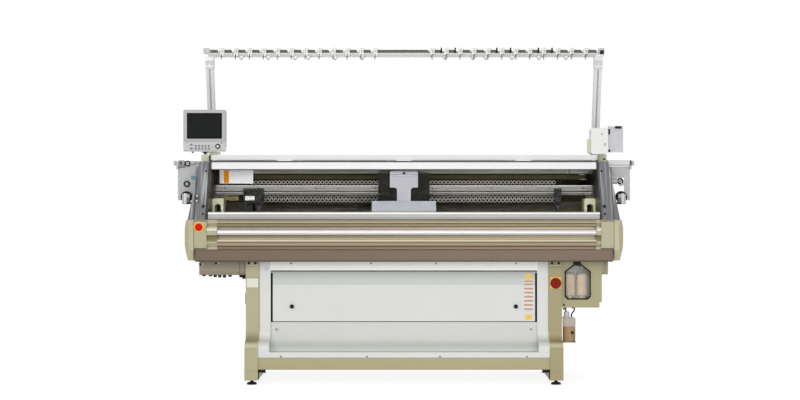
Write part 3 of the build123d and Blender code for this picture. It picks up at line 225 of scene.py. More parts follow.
def make_edges():
    """Worn or thin paint along edges: a mask and the softened normal."""
    tree, given, out = new_group(
        "worn_edges", [("Amount", "NodeSocketFloat", 0.3)],
        [("Mask", "NodeSocketFloat"), ("Normal", "NodeSocketVector")])
    bevel = tree.nodes.new("ShaderNodeBevel")
    bevel.samples = 4
    bevel.inputs["Radius"].default_value = EDGE_RADIUS
    geometry = tree.nodes.new("ShaderNodeNewGeometry")
    dot = tree.nodes.new("ShaderNodeVectorMath")
    dot.operation = "DOT_PRODUCT"
    link(tree, bevel.outputs["Normal"], dot.inputs[0])
    link(tree, geometry.outputs["Normal"], dot.inputs[1])
    edge = math_node(tree, "SUBTRACT", 1.0, dot.outputs["Value"])
    broken = math_node(tree, "MULTIPLY", edge, noise_node(tree, WEAR_SCALE, 3))
    scaled = math_node(tree, "MULTIPLY", broken, WEAR_GAIN)
    capped = math_node(tree, "MINIMUM", scaled, 1.0)
    link(tree, math_node(tree, "MULTIPLY", capped, given.outputs["Amount"]), out.inputs["Mask"])
    link(tree, bevel.outputs["Normal"], out.inputs["Normal"])
    return tree


SHADE_DRIFT = make_drift()
FINE_GRAIN = make_grain()
DRAWN_LINES = make_lines()
WORN_EDGES = make_edges()


# Finishes

def place_group(tree, group, **values):
    """A shared effect placed in a shader tree with its values."""
    node = tree.nodes.new("ShaderNodeGroup")
    node.node_tree = group
    for label, value in values.items():
        node.inputs[label].default_value = value
    return node


def start_material(name):
    """A new material with its shader tree and main shader."""
    made = bpy.data.materials.new(name)
    made.use_nodes = True
    return made, made.node_tree, made.node_tree.nodes["Principled BSDF"]


def add_bump(tree, height, strength, distance, shader, normal):
    """Adds a fine relief to a shader, on top of the softened edges."""
    bump = tree.nodes.new("ShaderNodeBump")
    bump.inputs["Strength"].default_value = strength
    bump.inputs["Distance"].default_value = distance
    link(tree, height, bump.inputs["Height"])
    link(tree, normal, bump.inputs["Normal"])
    link(tree, bump.outputs["Normal"], shader.inputs["Normal"])


def coated(name, code, gloss=0.42, grain=900.0, relief=0.12, drift=0.10, edge_code=None,
           edge_amount=0.0, metallic=0.0, shine=0.5):
    """Paint, powder coat or moulded plastic."""
    made, tree, shader = start_material(name)
    shade = place_group(tree, SHADE_DRIFT, Colour=colour(code), Amount=drift, Scale=3.0)
    surface = place_group(tree, FINE_GRAIN, Scale=grain, Gloss=gloss, Swing=GLOSS_SWING)
    shader.inputs["Metallic"].default_value = metallic
    shader.inputs["Specular IOR Level"].default_value = shine
    link(tree, surface.outputs["Roughness"], shader.inputs["Roughness"])
    edges = place_group(tree, WORN_EDGES, Amount=edge_amount)
    if edge_amount:
        mix = tree.nodes.new("ShaderNodeMix")
        mix.data_type = "RGBA"
        mix.inputs["B"].default_value = colour(edge_code)
        link(tree, edges.outputs["Mask"], mix.inputs["Factor"])
        link(tree, shade.outputs["Colour"], mix.inputs["A"])
        link(tree, mix.outputs["Result"], shader.inputs["Base Color"])
    else:
        link(tree, shade.outputs["Colour"], shader.inputs["Base Color"])
    add_bump(tree, surface.outputs["Height"], relief, GRAIN_DEPTH, shader, edges.outputs["Normal"])
    return made


def drawn(name, code, gloss=0.28, swing=0.2, relief=0.15, metallic=1.0):
    """Metal with fine lines along its length."""
    made, tree, shader = start_material(name)
    lines = place_group(tree, DRAWN_LINES, Gloss=gloss, Swing=swing)
    shader.inputs["Metallic"].default_value = metallic
    tint = tree.nodes.new("ShaderNodeHueSaturation")
    tint.inputs["Color"].default_value = colour(code)
    link(tree, lines.outputs["Shade"], tint.inputs["Value"])
    link(tree, tint.outputs["Color"], shader.inputs["Base Color"])
    link(tree, lines.outputs["Roughness"], shader.inputs["Roughness"])
    edges = place_group(tree, WORN_EDGES, Amount=0.0)
    add_bump(tree, lines.outputs["Height"], relief, LINE_DEPTH, shader, edges.outputs["Normal"])
    return made


def clear(name, code, weight, pass_code, rough=0.04, ior=1.2):
    """Clear or smoked sheet that lets the lamps' light through."""
    made, tree, shader = start_material(name)
    shade = place_group(tree, SHADE_DRIFT, Colour=colour(code), Amount=0.05, Scale=2.0)
    link(tree, shade.outputs["Colour"], shader.inputs["Base Color"])
    shader.inputs["Transmission Weight"].default_value = weight
    shader.inputs["IOR"].default_value = ior
    surface = place_group(tree, FINE_GRAIN, Scale=40.0, Gloss=rough, Swing=0.02)
    link(tree, surface.outputs["Roughness"], shader.inputs["Roughness"])
    passing = tree.nodes.new("ShaderNodeBsdfTransparent")
    passing.inputs["Color"].default_value = colour(pass_code)
    rays = tree.nodes.new("ShaderNodeLightPath")
    mix = tree.nodes.new("ShaderNodeMixShader")
    link(tree, rays.outputs["Is Shadow Ray"], mix.inputs["Fac"])
    link(tree, shader.outputs["BSDF"], mix.inputs[1])
    link(tree, passing.outputs["BSDF"], mix.inputs[2])
    link(tree, mix.outputs["Shader"], tree.nodes["Material Output"].inputs["Surface"])
    return made


def second_shade(made, code, mask):
    """Gives a finish another colour where a mask says so."""
    tree, shader = made.node_tree, made.node_tree.nodes["Principled BSDF"]
    before = shader.inputs["Base Color"].links[0].from_socket
    mix = tree.nodes.new("ShaderNodeMix")
    mix.data_type = "RGBA"
    link(tree, mask, mix.inputs["Factor"])
    link(tree, before, mix.inputs["A"])
    mix.inputs["B"].default_value = colour(code)
    link(tree, mix.outputs["Result"], shader.inputs["Base Color"])
    return made


def between(made, axis, low, high, soft=0.0006):
    """Mask of the places in a range of one coordinate, which counts without its sign for X."""
    tree = made.node_tree
    parts = tree.nodes.new("ShaderNodeSeparateXYZ")
    link(tree, tree.nodes.new("ShaderNodeTexCoord").outputs["Object"], parts.inputs["Vector"])
    value = parts.outputs[axis]
    if axis == "X":
        value = math_node(tree, "ABSOLUTE", value, 0.0)
    middle, half = (low + high) / 2, (high - low) / 2
    away = math_node(tree, "ABSOLUTE", math_node(tree, "SUBTRACT", value, middle), 0.0)
    over = math_node(tree, "DIVIDE", math_node(tree, "SUBTRACT", half + soft / 2, away), soft)
    over = math_node(tree, "MINIMUM", over, 1.0)
    return math_node(tree, "MAXIMUM", over, 0.0)


def banded(made, bands, soft=0.0006):
    """Adds colours in boxes of (x low, x high, z low, z high, colour), on both sides of the middle."""
    for x0, x1, z0, z1, code in bands:
        inside = math_node(made.node_tree, "MULTIPLY", between(made, "X", x0, x1),
                           between(made, "Z", z0, z1, soft))
        second_shade(made, code, inside)
    return made


def levels(made, bands, soft=0.0006):
    """Adds colours between heights of (z low, z high, colour), over the whole width."""
    return banded(made, [(0, WHOLE_WIDTH, *band) for band in bands], soft)


def hollow(made, x0, x1, z0, z1, y0, code):
    """Adds another colour to the walls of a recess, here painted light."""
    inside = math_node(made.node_tree, "MULTIPLY", between(made, "X", x0, x1),
                       between(made, "Z", z0, z1))
    inside = math_node(made.node_tree, "MULTIPLY", inside, between(made, "Y", y0, 1.0))
    return second_shade(made, code, inside)


def painted_inside_shade(made, code, border):
    """Adds a dark colour, painted shade, to the faces of a sheet that look forwards."""
    tree = made.node_tree
    parts = tree.nodes.new("ShaderNodeSeparateXYZ")
    link(tree, tree.nodes.new("ShaderNodeNewGeometry").outputs["Normal"], parts.inputs["Vector"])
    return second_shade(made, code, math_node(tree, "LESS_THAN", parts.outputs["Y"], border))


def painted_reflection_streaks(made, code, stretch, border):
    """Adds soft streaks of painted reflection along one direction."""
    tree = made.node_tree
    over = math_node(tree, "SUBTRACT", noise_node(tree, 1.0, 1, stretch), border)
    over = math_node(tree, "MULTIPLY", math_node(tree, "MAXIMUM", over, 0.0), STREAK_GAIN)
    return second_shade(made, code, math_node(tree, "MINIMUM", over, STREAK_MOST))


FINISH = {
    "beige_paint": coated("beige_powder_coat", "b2ab89", gloss=0.45, edge_code="d2ccb0", edge_amount=0.5),
    "cover_paint": coated("cover_paint", "b4ae8c", gloss=0.38, edge_code="d6d1b4", edge_amount=0.4),
    "brown_paint": coated("brown_paint", "655039", gloss=0.4, edge_code="9c8b77", edge_amount=0.4),
    "dark_paint": coated("dark_frame_paint", "3f392a", gloss=0.55),
    "white_paint": coated("white_powder_coat", "e0e1de", gloss=0.42, edge_code="f2f2f0", edge_amount=0.3),
    "grey_paint": coated("grey_paint", "c4c5c3", gloss=0.42),
    "bed_steel": drawn("ground_bed_steel", "6d6a62", gloss=0.4),
    "bright_steel": drawn("bright_steel", "cfccd0", gloss=0.3, swing=0.12, metallic=0.35),
    "cast_aluminium": coated("fine_cast_grey", "9b999f", gloss=0.5, grain=500, relief=0.2,
                             metallic=0.1, shine=0.3),
    "extruded_aluminium": drawn("anodised_aluminium", "cfcfd2", gloss=0.36, metallic=0.3),
    # The tray's bands are painted light and shade: darker faces where the profile looks down or turns under,
    # the recess behind the bar painted lighter, and a cream painted highlight along the nose.
    "bronze_extrusion": levels(
        drawn("bronze_anodised", "9c8f76", gloss=0.36, metallic=0.3),
        ((0.9400, 0.9520, "94886e"), (0.9335, 0.9400, "b1a587"), (0.9135, 0.9335, "7f7259"),
         (0.8920, 0.9135, "b6a88a"), (0.8435, 0.8920, "877a61"), (0.8290, 0.8435, "e2d6ba"),
         (0.8175, 0.8290, "5e5340"), (0.8010, 0.8175, "ab9a7d"), (0.7800, 0.8010, "705d4a")),
        soft=0.004),
    "rubber": coated("black_rubber", "151514", gloss=0.7, grain=400, relief=0.3, shine=0.25),
    "roller_rubber": coated("ground_roller_rubber", "2b2b2a", gloss=0.6, grain=300, relief=0.3),
    "clear_sheet": clear("clear_sheet", "f4f4f4", 1.0, "f6f6f5", ior=1.06),
    # The smoked sheet's light streaks are painted reflections.
    "smoked_sheet": painted_reflection_streaks(clear("smoked_sheet", "858689", 0.22, "7b7a7e", rough=0.12),
                             "c6c8ca", (70, 3, 3), 0.53),
    "light_plastic": coated("light_grey_plastic", "c8c9c7", gloss=0.5, grain=1500),
    "white_plastic": coated("white_plastic", "e6e6e4", gloss=0.4, grain=1500),
    "black_plastic": coated("black_plastic", "0b0b0a", gloss=0.5, grain=1200, shine=0.2),
    "red_plastic": coated("red_plastic", "d80000", gloss=0.45, shine=0.1),
    "filter_paper": coated("filter_paper", "dcc0ac", gloss=0.8, grain=250, relief=0.5),
    "oil": clear("clear_bottle", "d8d2ce", 0.9, "f0e8d0", ior=1.15),
}


# Finishes of single pieces

# Painted shade and a painted highlight where the legs step out towards the toe.
TOE_SHADE_AND_HIGHLIGHT = ((0.252, 0.296, "9c926f"), (0.222, 0.238, "cfc9aa"))

OLIVE_SHADE = coated("olive_shade", "6f6a4a", gloss=0.6, shine=0.2)
OLIVE_STRIP = coated("olive_strip", "62645a", gloss=0.6, shine=0.2)
BEAM_METAL = coated("beam_aluminium", "cccdcb", gloss=0.5, relief=0.02, metallic=0.1, shine=0.3)
LEG_COAT = levels(coated("left_leg_coat", "b2ab89", gloss=0.45, edge_code="d2ccb0", edge_amount=0.5),
                  TOE_SHADE_AND_HIGHLIGHT, soft=0.02)
OLIVE_LIGHT = coated("light_olive", "cbcfab", gloss=0.42)
# The slot is painted darker, as painted shade inside it; the post is also a little darker from 1.861 up.
POST_METAL = banded(coated("post_aluminium", "e0e0e0", gloss=0.42, relief=0.02, metallic=0.2),
                    ((1.1830, 1.1910, 1.29, 1.861, "b0b1b1"), (1.1, 1.3, 1.861, 2.0, "d0d1d1")))
TABLE_PAINT = coated("table_paint", "dfdfde", gloss=0.4)
RAIL_PAINT = coated("cover_rail_paint", "f4f4f5", gloss=0.4, shine=0.3)
# Painted highlights along the bar's upper face and lower edge, and painted shade in a band along its top.
BAR_PAINT = levels(coated("lower_bar_silver", "a1a29e", gloss=0.4, metallic=0.2),
                   ((0.9830, 0.9945, "eeeeed"), (0.9945, 1.0, "6b6b66"), (0.950, 0.9590, "dcddd8")),
                   soft=0.003)
# The right leg's coat is a darker copy of the leg paint: painted shade.
LEG_SHADE = levels(coated("right_leg_coat", "a2976f", gloss=0.45, edge_code="c9c3a4", edge_amount=0.5),
                   TOE_SHADE_AND_HIGHLIGHT[1:], soft=0.02)
BEAM_COAT = coated("cross_beam_coat", "ada47c", gloss=0.45)
# The recess behind the lid has its walls painted lighter and lilac: painted light. The box's outer top corner
# is darker.
BOX_COAT = hollow(banded(coated("filter_box_coat", "a49d73", gloss=0.4, edge_code="cfc9a6",
                                edge_amount=0.4), ((1.1625, 1.2, 0.633, 0.72, "918d69"),)),
                  0.930, 1.100, 0.480, 0.700, -0.2985, "b9aeb0")
# The box under the left end is a darker, greyer copy of the cover paint: painted shade.
LEFT_BOX_COAT = coated("left_box_coat", "978c78", gloss=0.45)
# A painted highlight on the end blocks' slope above the bar, and painted shade on the band below it.
CORNER_COAT = banded(coated("corner_coat", "aba583", gloss=0.38, edge_code="d6d1b4", edge_amount=0.4),
                     ((1.06, 1.1245, 0.891, 0.9157, "dcd8c8"), (1.06, 1.1245, 0.828, 0.866, "8d8664")))
# The door is painted darker towards its top: the painted shadow of the skirt's top rail.
DOOR_COAT = levels(levels(coated("door_coat", "dbdcd9", gloss=0.42), ((0.5724, 0.70, "c7cbc8"),)),
                   ((0.612, 0.70, "b7bbb8"), (0.640, 0.70, "989e9a")), soft=0.022)
# The skirt's top rail is painted lighter against the fascia's shade, and the lower panel darker towards the
# bottom as painted shade.
SKIRT_COAT = banded(banded(coated("skirt_coat", "dddedb", gloss=0.42, edge_code="f2f2f0",
                                  edge_amount=0.3), ((0, 0.776, 0.6535, 0.72, "fbfcfa"),)),
                    ((0, 0.779, 0.246, 0.362, "d3d4d1"), (0, 0.779, 0.198, 0.246, "bcc1b9")), soft=0.03)
RAIL_STEEL = levels(drawn("carrier_rail_steel", "73716d", gloss=0.45, metallic=0.2),
                    ((1.09, 1.1185, "48453f"),))
GUIDE_GREY = coated("guide_grey", "72736a", gloss=0.4, metallic=0.2)
ROLLER_GREY = coated("roller_grey", "a9a9a8", gloss=0.45)
ROLLER_LIGHT = coated("roller_light", "dedddb", gloss=0.4)
# Painted shade on the upper inner part of the plates; lower down, a darker patch round the dark parts.
SIDE_PLATE = banded(coated("side_plate_coat", "b9baba", gloss=0.42),
                    ((1.252, 1.2818, 1.040, 1.079, "5c5c5b"), (1.2, 1.232, 1.19, 1.262, "8d8e8d")))
PLATE_GREY = coated("plate_grey", "b4b5b5", gloss=0.4, metallic=0.2)
KEY_GREY = coated("key_grey", "6c6d6c", gloss=0.45)
BEZEL_GREY = banded(coated("bezel_grey", "c4c5c3", gloss=0.5, grain=1500),
                    ((1.0, 1.4, 1.4085, 1.61, "b1b2b1"),))
BOX_GREY = coated("fitting_grey", "9a9c9a", gloss=0.45)
BODY_BLACK = coated("carriage_black", "171613", gloss=0.6, shine=0.1)
COVER_CAST = coated("carriage_cover_cast", "9b9ea4", gloss=0.5, grain=500, relief=0.2, shine=0.3)
# The guard sheet and the belt take the dark olive-brown of the shaded inside: painted shade.
GUARD_DARK = coated("guard_dark", "2c2718", gloss=0.7, shine=0.1)
BELT_DARK = coated("belt_dark", "4f4934", gloss=0.7, shine=0.1)
RIM_METAL = coated("rim_metal", "fffaf0", gloss=0.3)
NEEDLE_STEEL = drawn("needle_steel", "8f8c84", gloss=0.3)
HEAD_LIGHT = coated("head_plates", "8d8f94", gloss=0.4, metallic=0.2)
HEAD_DARK = coated("head_bands", "5f6165", gloss=0.4, metallic=0.2)
SCREEN_GLASS = coated("dark_screen", "131614", gloss=0.5, drift=0.25, relief=0.0, shine=0.08)
SCREEN_EDGE = coated("screen_edge", "070707", gloss=0.6, shine=0.1)
SEAM_DARK = coated("seam_dark", "26241d", gloss=0.7, shine=0.15)
SEAM_GREY = coated("seam_grey", "555655", gloss=0.6, shine=0.2)
SEAM_BLACK = coated("seam_black", "1a1b1a", gloss=0.8, shine=0.05)
MARK_GREY = coated("mark_grey", "8e9092", gloss=0.5)
LEG_SEAM = coated("leg_seam", "8b8568", gloss=0.6)
PAINTED_HIGHLIGHT = coated("painted_highlight_line", "d9d5bd", gloss=0.45)
BORDER_WHITE = coated("board_border", "e4e5e7", gloss=0.4)
SWITCH_RED = coated("switch_red", "860404", gloss=0.5, shine=0.15)
GRIP_RED = coated("switch_grip_red", "b8322f", gloss=0.5, shine=0.2)
YELLOW = coated("signal_yellow", "f2c114", gloss=0.4)
ORANGE = coated("orange_field", "ff9a00", gloss=0.6, shine=0.0)
LABEL_ORANGE = coated("label_orange", "c89468", gloss=0.6)
PALE_PLATE = coated("pale_plate", "e6e4d6", gloss=0.4)
# White of the window's plate, also used for painted highlight lines on the rails.
WHITE_LABEL_AND_HIGHLIGHT = coated("white_label_and_highlight", "fdfdfe", gloss=0.5)
LABEL_BACK = coated("label_backing", "dfdfdb", gloss=0.5)
CERAMIC = coated("glazed_ceramic", "e6e5e1", gloss=0.2, relief=0.02)
STEEL_WIRE = drawn("steel_wire", "77777a", gloss=0.3, metallic=0.5)
BLUE_PLASTIC = coated("blue_plastic", "4f8fa8", gloss=0.35)
RED_SPOT = coated("red_lamp", "c4304a", gloss=0.3)
OIL_FILL = clear("amber_oil", "c8ab52", 0.5, "d8b050", rough=0.05, ior=1.15)
LID_SHEET = clear("filter_lid_sheet", "eceeea", 0.95, "f2f3f0", rough=0.04, ior=1.06)
BOARD_SHEET = clear("board_sheet", "d4d5d8", 0.30, "d6d8da", rough=0.1, ior=1.1)
# The rear cover's inner faces are painted dark: painted shade inside the machine.
INSIDE_BACK = painted_inside_shade(coated("inside_back", "b5ae8d", gloss=0.5), "544c35", 0.2)
# Inside the machine, above 1.0735 and along the inner edge above 0.953, the end frames are painted dark as
# painted shade; the castings below take a lighter olive; the necks are painted lighter, partly their own
# light olive and partly painted light against the panel's shadow.
END_FRAME = banded(coated("end_frame_paint", "b0a987", gloss=0.45),
                   ((1.0, 1.1355, 1.0735, 1.5, "3d3a2d"), (1.0, 1.1275, 0.79, 1.0735, "c2c1a0"),
                    (1.1278, 1.1355, 0.953, 1.5, "2b2a24"), (1.1365, 1.21, 1.246, 1.5, "d6d9ba")))

# Finishes that many pieces share, each with its slot
BLACK = (FINISH["black_plastic"], "black_plastic")
WHITE = (FINISH["white_plastic"], "white_plastic")
STEEL = (STEEL_WIRE, "bright_steel")


# Mesh helpers

TURNED = {}


def block(bm, low, high, round_by, steps=2):
    """A box between two corners with its edges rounded."""
    low, high = (Vector(f(pair) for pair in zip(low, high)) for f in (min, max))
    made = bmesh.ops.create_cube(bm, size=1.0)["verts"]
    bmesh.ops.scale(bm, vec=high - low, verts=made)
    bmesh.ops.translate(bm, vec=(low + high) / 2, verts=made)
    if round_by:
        edges = list({edge for vert in made for edge in vert.link_edges})
        bmesh.ops.bevel(bm, geom=edges, offset=round_by, segments=steps, profile=0.5,
                        affect="EDGES", material=-1)


def slab(bm, outline, y0, y1):
    """A plate with an outline of (x, z) points between two depths."""
    face = bm.faces.new([bm.verts.new((x, y0, z)) for x, z in outline])
    grown = bmesh.ops.extrude_face_region(bm, geom=[face])["geom"]
    verts = [item for item in grown if isinstance(item, bmesh.types.BMVert)]
    bmesh.ops.translate(bm, vec=(0, y1 - y0, 0), verts=verts)


def rod(bm, radius, start, end, steps, round_by=0.0):
    """A round bar between two points, with its rims rounded."""
    start, end = Vector(start), Vector(end)
    along = end - start
    turn = along.to_track_quat("Z", "Y").to_matrix().to_4x4()
    made = bmesh.ops.create_cone(
        bm, cap_ends=True, cap_tris=False, segments=steps, radius1=radius, radius2=radius,
        depth=along.length, matrix=Matrix.Translation((start + end) / 2) @ turn)["verts"]
    if round_by:
        caps = {face for vert in made for face in vert.link_faces if len(face.verts) == steps}
        rims = list({edge for face in caps for edge in face.edges})
        bmesh.ops.bevel(bm, geom=rims, offset=round_by, segments=2, profile=0.5,
                        affect="EDGES", material=-1)


def bent_rod(bm, radius, points, steps):
    """A wire or pipe through several points."""
    for start, end in zip(points, points[1:]):
        rod(bm, radius, start, end, steps)
    for point in points[1:-1]:
        bmesh.ops.create_uvsphere(bm, u_segments=steps, v_segments=6, radius=radius,
                                  matrix=Matrix.Translation(point))


def turned(bm, profile, place, steps):
    """A shape turned from (radius, height) points about Z, then put in its place."""
    key = (tuple(profile), steps)
    if key not in TURNED:
        shape = bmesh.new()
        verts = [shape.verts.new((radius, 0, height)) for radius, height in profile]
        edges = [shape.edges.new(pair) for pair in zip(verts, verts[1:])]
        bmesh.ops.spin(shape, geom=verts + edges, cent=(0, 0, 0), axis=(0, 0, 1), steps=steps,
                       angle=math.tau, use_merge=True)
        bmesh.ops.remove_doubles(shape, verts=shape.verts, dist=1e-6)
        TURNED[key] = bpy.data.meshes.new("turned_shape")
        shape.to_mesh(TURNED[key])
        shape.free()
    copy = TURNED[key].copy()
    copy.transform(place)
    bm.from_mesh(copy)
    bpy.data.meshes.remove(copy)


def facing_front(x, y, z):
    """Turns a shape made about Z so that its top looks forwards, at a place."""
    return Matrix.Translation((x, y, z)) @ Matrix.Rotation(math.radians(90), 4, "X")


def ring(bm, inner, outer, thick, place, steps):
    """A flat ring with rounded rims."""
    edge = thick * 0.25
    turned(bm, [(inner, 0), (inner, thick - edge), (inner + edge, thick), (outer - edge, thick),
                (outer, thick - edge), (outer, 0), (inner, 0)], place, steps)


def disc(bm, radius, thick, place, steps):
    """A flat disc with a rounded rim."""
    edge = thick * 0.3
    turned(bm, [(radius, 0), (radius, thick - edge), (radius - edge, thick), (0, thick)], place, steps)


def screw_head(bm, x, y, z, radius, high):
    """A socket screw's head that looks forwards, with its recess."""
    deep = radius * 0.55
    turned(bm, [(radius, 0), (radius, high * 0.75), (radius * 0.85, high), (deep, high),
                (deep, high * 0.3), (0, high * 0.3)], facing_front(x, y, z), 16)


def finish_piece(name, bm, material, slot, body="machine"):
    """Turns a bmesh into a piece that rides on a body."""
    bmesh.ops.recalc_face_normals(bm, faces=bm.faces)
    mesh = bpy.data.meshes.new(name)
    bm.to_mesh(mesh)
    bm.free()
    mesh.shade_smooth()
    mesh.set_sharp_from_angle(angle=SMOOTH_BELOW)
    mesh.materials.append(material)
    piece = bpy.data.objects.new(name, mesh)
    bpy.context.scene.collection.objects.link(piece)
    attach(piece, body)
    return piece


def gathered(name, shapes, material, slot, body="machine"):
    """One piece of several shapes, each given as its function and values."""
    bm = bmesh.new()
    for shape, *values in shapes:
        shape(bm, *values)
    return finish_piece(name, bm, material, slot, body)


def blocks(name, rows, material, slot, body="machine", round_by=0.0008, steps=1):
    """One piece of several blocks, each given as two corners."""
    shapes = [(block, low, high, round_by, steps) for low, high in rows]
    return gathered(name, shapes, material, slot, body)


def trims(name, rows, material, slot, body="machine"):
    """One piece of several blocks that are too thin for rounded edges."""
    return blocks(name, rows, material, slot, body, 0.0)


def both_sides(rows):
    """The given blocks and their mirror images."""
    return rows + [((-low[0], *low[1:]), (-high[0], *high[1:])) for low, high in rows]


# Finishes of the solids

def dress_solids():
    """Every solid takes the finish of its slot, and some their own."""
    slots = {row["node"]: row["material_slot"] for row in frame["record"]["subparts"]}
    own = {
        "end_frame_left": END_FRAME, "end_frame_right": END_FRAME, "rear_cover": INSIDE_BACK,
        "yarn_post_left": POST_METAL, "yarn_post_right": POST_METAL, "yarn_table": TABLE_PAINT,
        "cover_top_rail": RAIL_PAINT, "cover_lower_bar": BAR_PAINT, "main_switch": SWITCH_RED,
        "guide_beam": GUIDE_GREY, "carrier_rail": RAIL_STEEL, "carriage_body": BODY_BLACK,
        "carriage_cover": COVER_CAST, "feed_roller_left": ROLLER_GREY,
        "feed_roller_right": ROLLER_LIGHT, "filter_lid": LID_SHEET, "clear_board": BOARD_SHEET,
        "filter_box": BOX_COAT, "left_box": LEFT_BOX_COAT, "cross_beams": BEAM_COAT,
        "corner_left": CORNER_COAT, "corner_right": CORNER_COAT, "skirt_door": DOOR_COAT,
        "panel_key_upper": KEY_GREY, "panel_key_lower": KEY_GREY, "side_plate_left": SIDE_PLATE,
        "side_plate_right": SIDE_PLATE, "leg_right": LEG_SHADE, "leg_left": LEG_COAT,
        "yarn_beam": BEAM_METAL, "drive_belt": BELT_DARK, "skirt_frame": SKIRT_COAT,
        "control_panel": BEZEL_GREY, "levelling_feet": FINISH["black_plastic"],
    }
    for name, node in frame["nodes"].items():
        finish = own.get(name, FINISH[slots[name]])
        if not node.material_slots:
            node.data.materials.append(finish)
        for place in node.material_slots:
            place.material = finish


# Yarn stand

def top_beam():
    """The beam's lower rail with its groove, and the end caps."""
    front, back, low = BEAM_FRONT, BEAM_FRONT + BEAM_DEPTH, BEAM_LOW
    half, inner = BEAM_HALF - 0.03, BEAM_HALF - 0.036
    beam = blocks("top_beam_rail", [
        ((-half, front, low), (half, back, low + 0.009)),
        ((-half, front + 0.002, low + 0.008), (half, back, low + 0.013)),
        ((-half, front, low + 0.012), (half, back, STRIP_LOW))],
        BEAM_METAL, "extruded_aluminium", round_by=0.001)
    blocks("top_beam_caps", both_sides([
        ((-inner, front - 0.004, low + 0.020), (-BEAM_HALF, back + 0.004, BEAM_HIGH + 0.010))]),
        FINISH["light_plastic"], "light_plastic", round_by=0.004, steps=2)
    return beam


def unit_places():
    """Centres of the tensioners along the beam."""
    return [side * (UNIT_FIRST + i * UNIT_PITCH) for side in (-1, 1) for i in range(UNIT_COUNT)]


def olive_strips():
    """Strips on the beam between the tensioners, with slanted right ends."""
    front, back, low, high = BEAM_FRONT + 0.008, BEAM_FRONT + BEAM_DEPTH - 0.002, STRIP_LOW, BEAM_HIGH
    places = sorted(unit_places())
    starts = [-STRIP_REACH] + [x + STRIP_AFTER for x in places]
    ends = [x - (STRIP_BEFORE_LEFT if x < 0 else STRIP_BEFORE_RIGHT) for x in places] + [STRIP_REACH]
    gathered("beam_strips", [
        (slab, [(x0, low), (x1, low), (x1 - STRIP_SLANT, high), (x0, high)], front, back)
        for x0, x1 in zip(starts, ends)], OLIVE_STRIP, "dark_paint")


def along_beam(x, y, points):
    """Points of a wire from (sideways, upwards) steps off a place on the beam's lower edge."""
    return [(x + side, BEAM_FRONT + y, BEAM_LOW + up) for side, up in points]


def thread_units():
    """Tensioners on the beam, with their eyes, discs, hooks and wires, and the loops below them."""
    bodies, eyes, wires, dark = (bmesh.new() for _ in range(4))
    front, low = BEAM_FRONT, BEAM_LOW
    for x in unit_places():
        block(bodies, (x - 0.0145, front - 0.012, low + 0.004), (x + 0.0145, front + 0.004, low + 0.046),
              0.003)
        block(bodies, (x - 0.008, front - 0.010, low + 0.044), (x + 0.012, front, low + 0.055), 0.003)
        upper_eye = facing_front(x + 0.002, front - 0.012, low + 0.034)
        ring(eyes, 0.0032, 0.0085, 0.005, upper_eye, 16)
        ring(eyes, 0.003, 0.0105, 0.002, facing_front(x - 0.002, front - 0.013, low + 0.013), 20)
        disc(dark, 0.0034, 0.001, upper_eye, 12)
        disc(dark, 0.0034, 0.006, facing_front(x - 0.002, front - 0.012, low + 0.013), 12)
        block(dark, (x - 0.0195, front - 0.006, low + 0.027), (x - 0.0135, front + 0.003, low + 0.033),
              0.001, 1)
        bent_rod(wires, 0.0033, along_beam(x, -0.016, HOOK_LEFT if x < 0 else HOOK_RIGHT), 8)
        rod(wires, 0.0012, (x + 0.012, front - 0.010, low + 0.03),
            (x + 0.020, front - 0.012, low + 0.050), 8)
    for x in LOOP_PLACES:
        bent_rod(wires, 0.0018, along_beam(x, -0.006, LOOP_WIRE), 8)
        slab(bodies, [(x + side, low + up) for side, up in LOOP_PLATE], front - 0.0065, front - 0.0055)
    finish_piece("tensioner_bodies", bodies, *WHITE)
    finish_piece("tensioner_eyes", eyes, CERAMIC, "white_plastic")
    finish_piece("tensioner_wires", wires, *STEEL)
    finish_piece("tensioner_dark_parts", dark, *BLACK)


def beam_ends():
    """Slanted tabs, red mark and right end plates of the beam."""
    front, low = BEAM_FRONT, BEAM_LOW
    gathered("beam_tabs", [(slab, [(x + side, low + up) for side, up in TAB_PLATE], front - 0.001,
                            front + 0.007) for x in TAB_PLACES], *BLACK)
    blocks("beam_red_mark", [((-1.037, front - 0.002, low + 0.028), (-1.029, front + 0.009, low + 0.036))],
           RED_SPOT, "red_plastic")
    blocks("beam_right_block", [((1.196, front - 0.008, low + 0.016), (1.220, front + 0.001, low + 0.040))],
           *BLACK)
    blocks("beam_right_plate", [((1.170, front - 0.006, low - 0.001), (1.223, front + 0.001, low + 0.016))],
           *WHITE)


# Inside the cover

def row_start(row):
    """Place of the first hole of a row, shifted in turn."""
    shift = HOLE_PITCH / 4 if row % 2 else -HOLE_PITCH / 4
    return -(HOLE_COUNT - 1) / 2 * HOLE_PITCH + shift


def holed_cell(bm, y, x, z, radius, high):
    """One cell of the sheet: eight faces between a round hole and the cell's border."""
    w, h = HOLE_PITCH / 2, high / 2
    w_cut, h_cut = w * CELL_CUT, h * CELL_CUT
    inner = [(x + radius * math.cos(a), z + radius * math.sin(a))
             for a in [math.tau * (k + 0.5) / 8 for k in range(8)]]
    outer = [(x + w, z + h_cut), (x + w_cut, z + h), (x - w_cut, z + h), (x - w, z + h_cut),
             (x - w, z - h_cut), (x - w_cut, z - h), (x + w_cut, z - h), (x + w, z - h_cut)]
    corners = {0: (x + w, z + h), 2: (x - w, z + h), 4: (x - w, z - h), 6: (x + w, z - h)}
    for k in range(8):
        n = (k + 1) % 8
        points = [inner[k], outer[k]] + ([corners[k]] if k in corners else [])
        points += [outer[n], inner[n]]
        bm.faces.new([bm.verts.new((px, y, pz)) for px, pz in points])


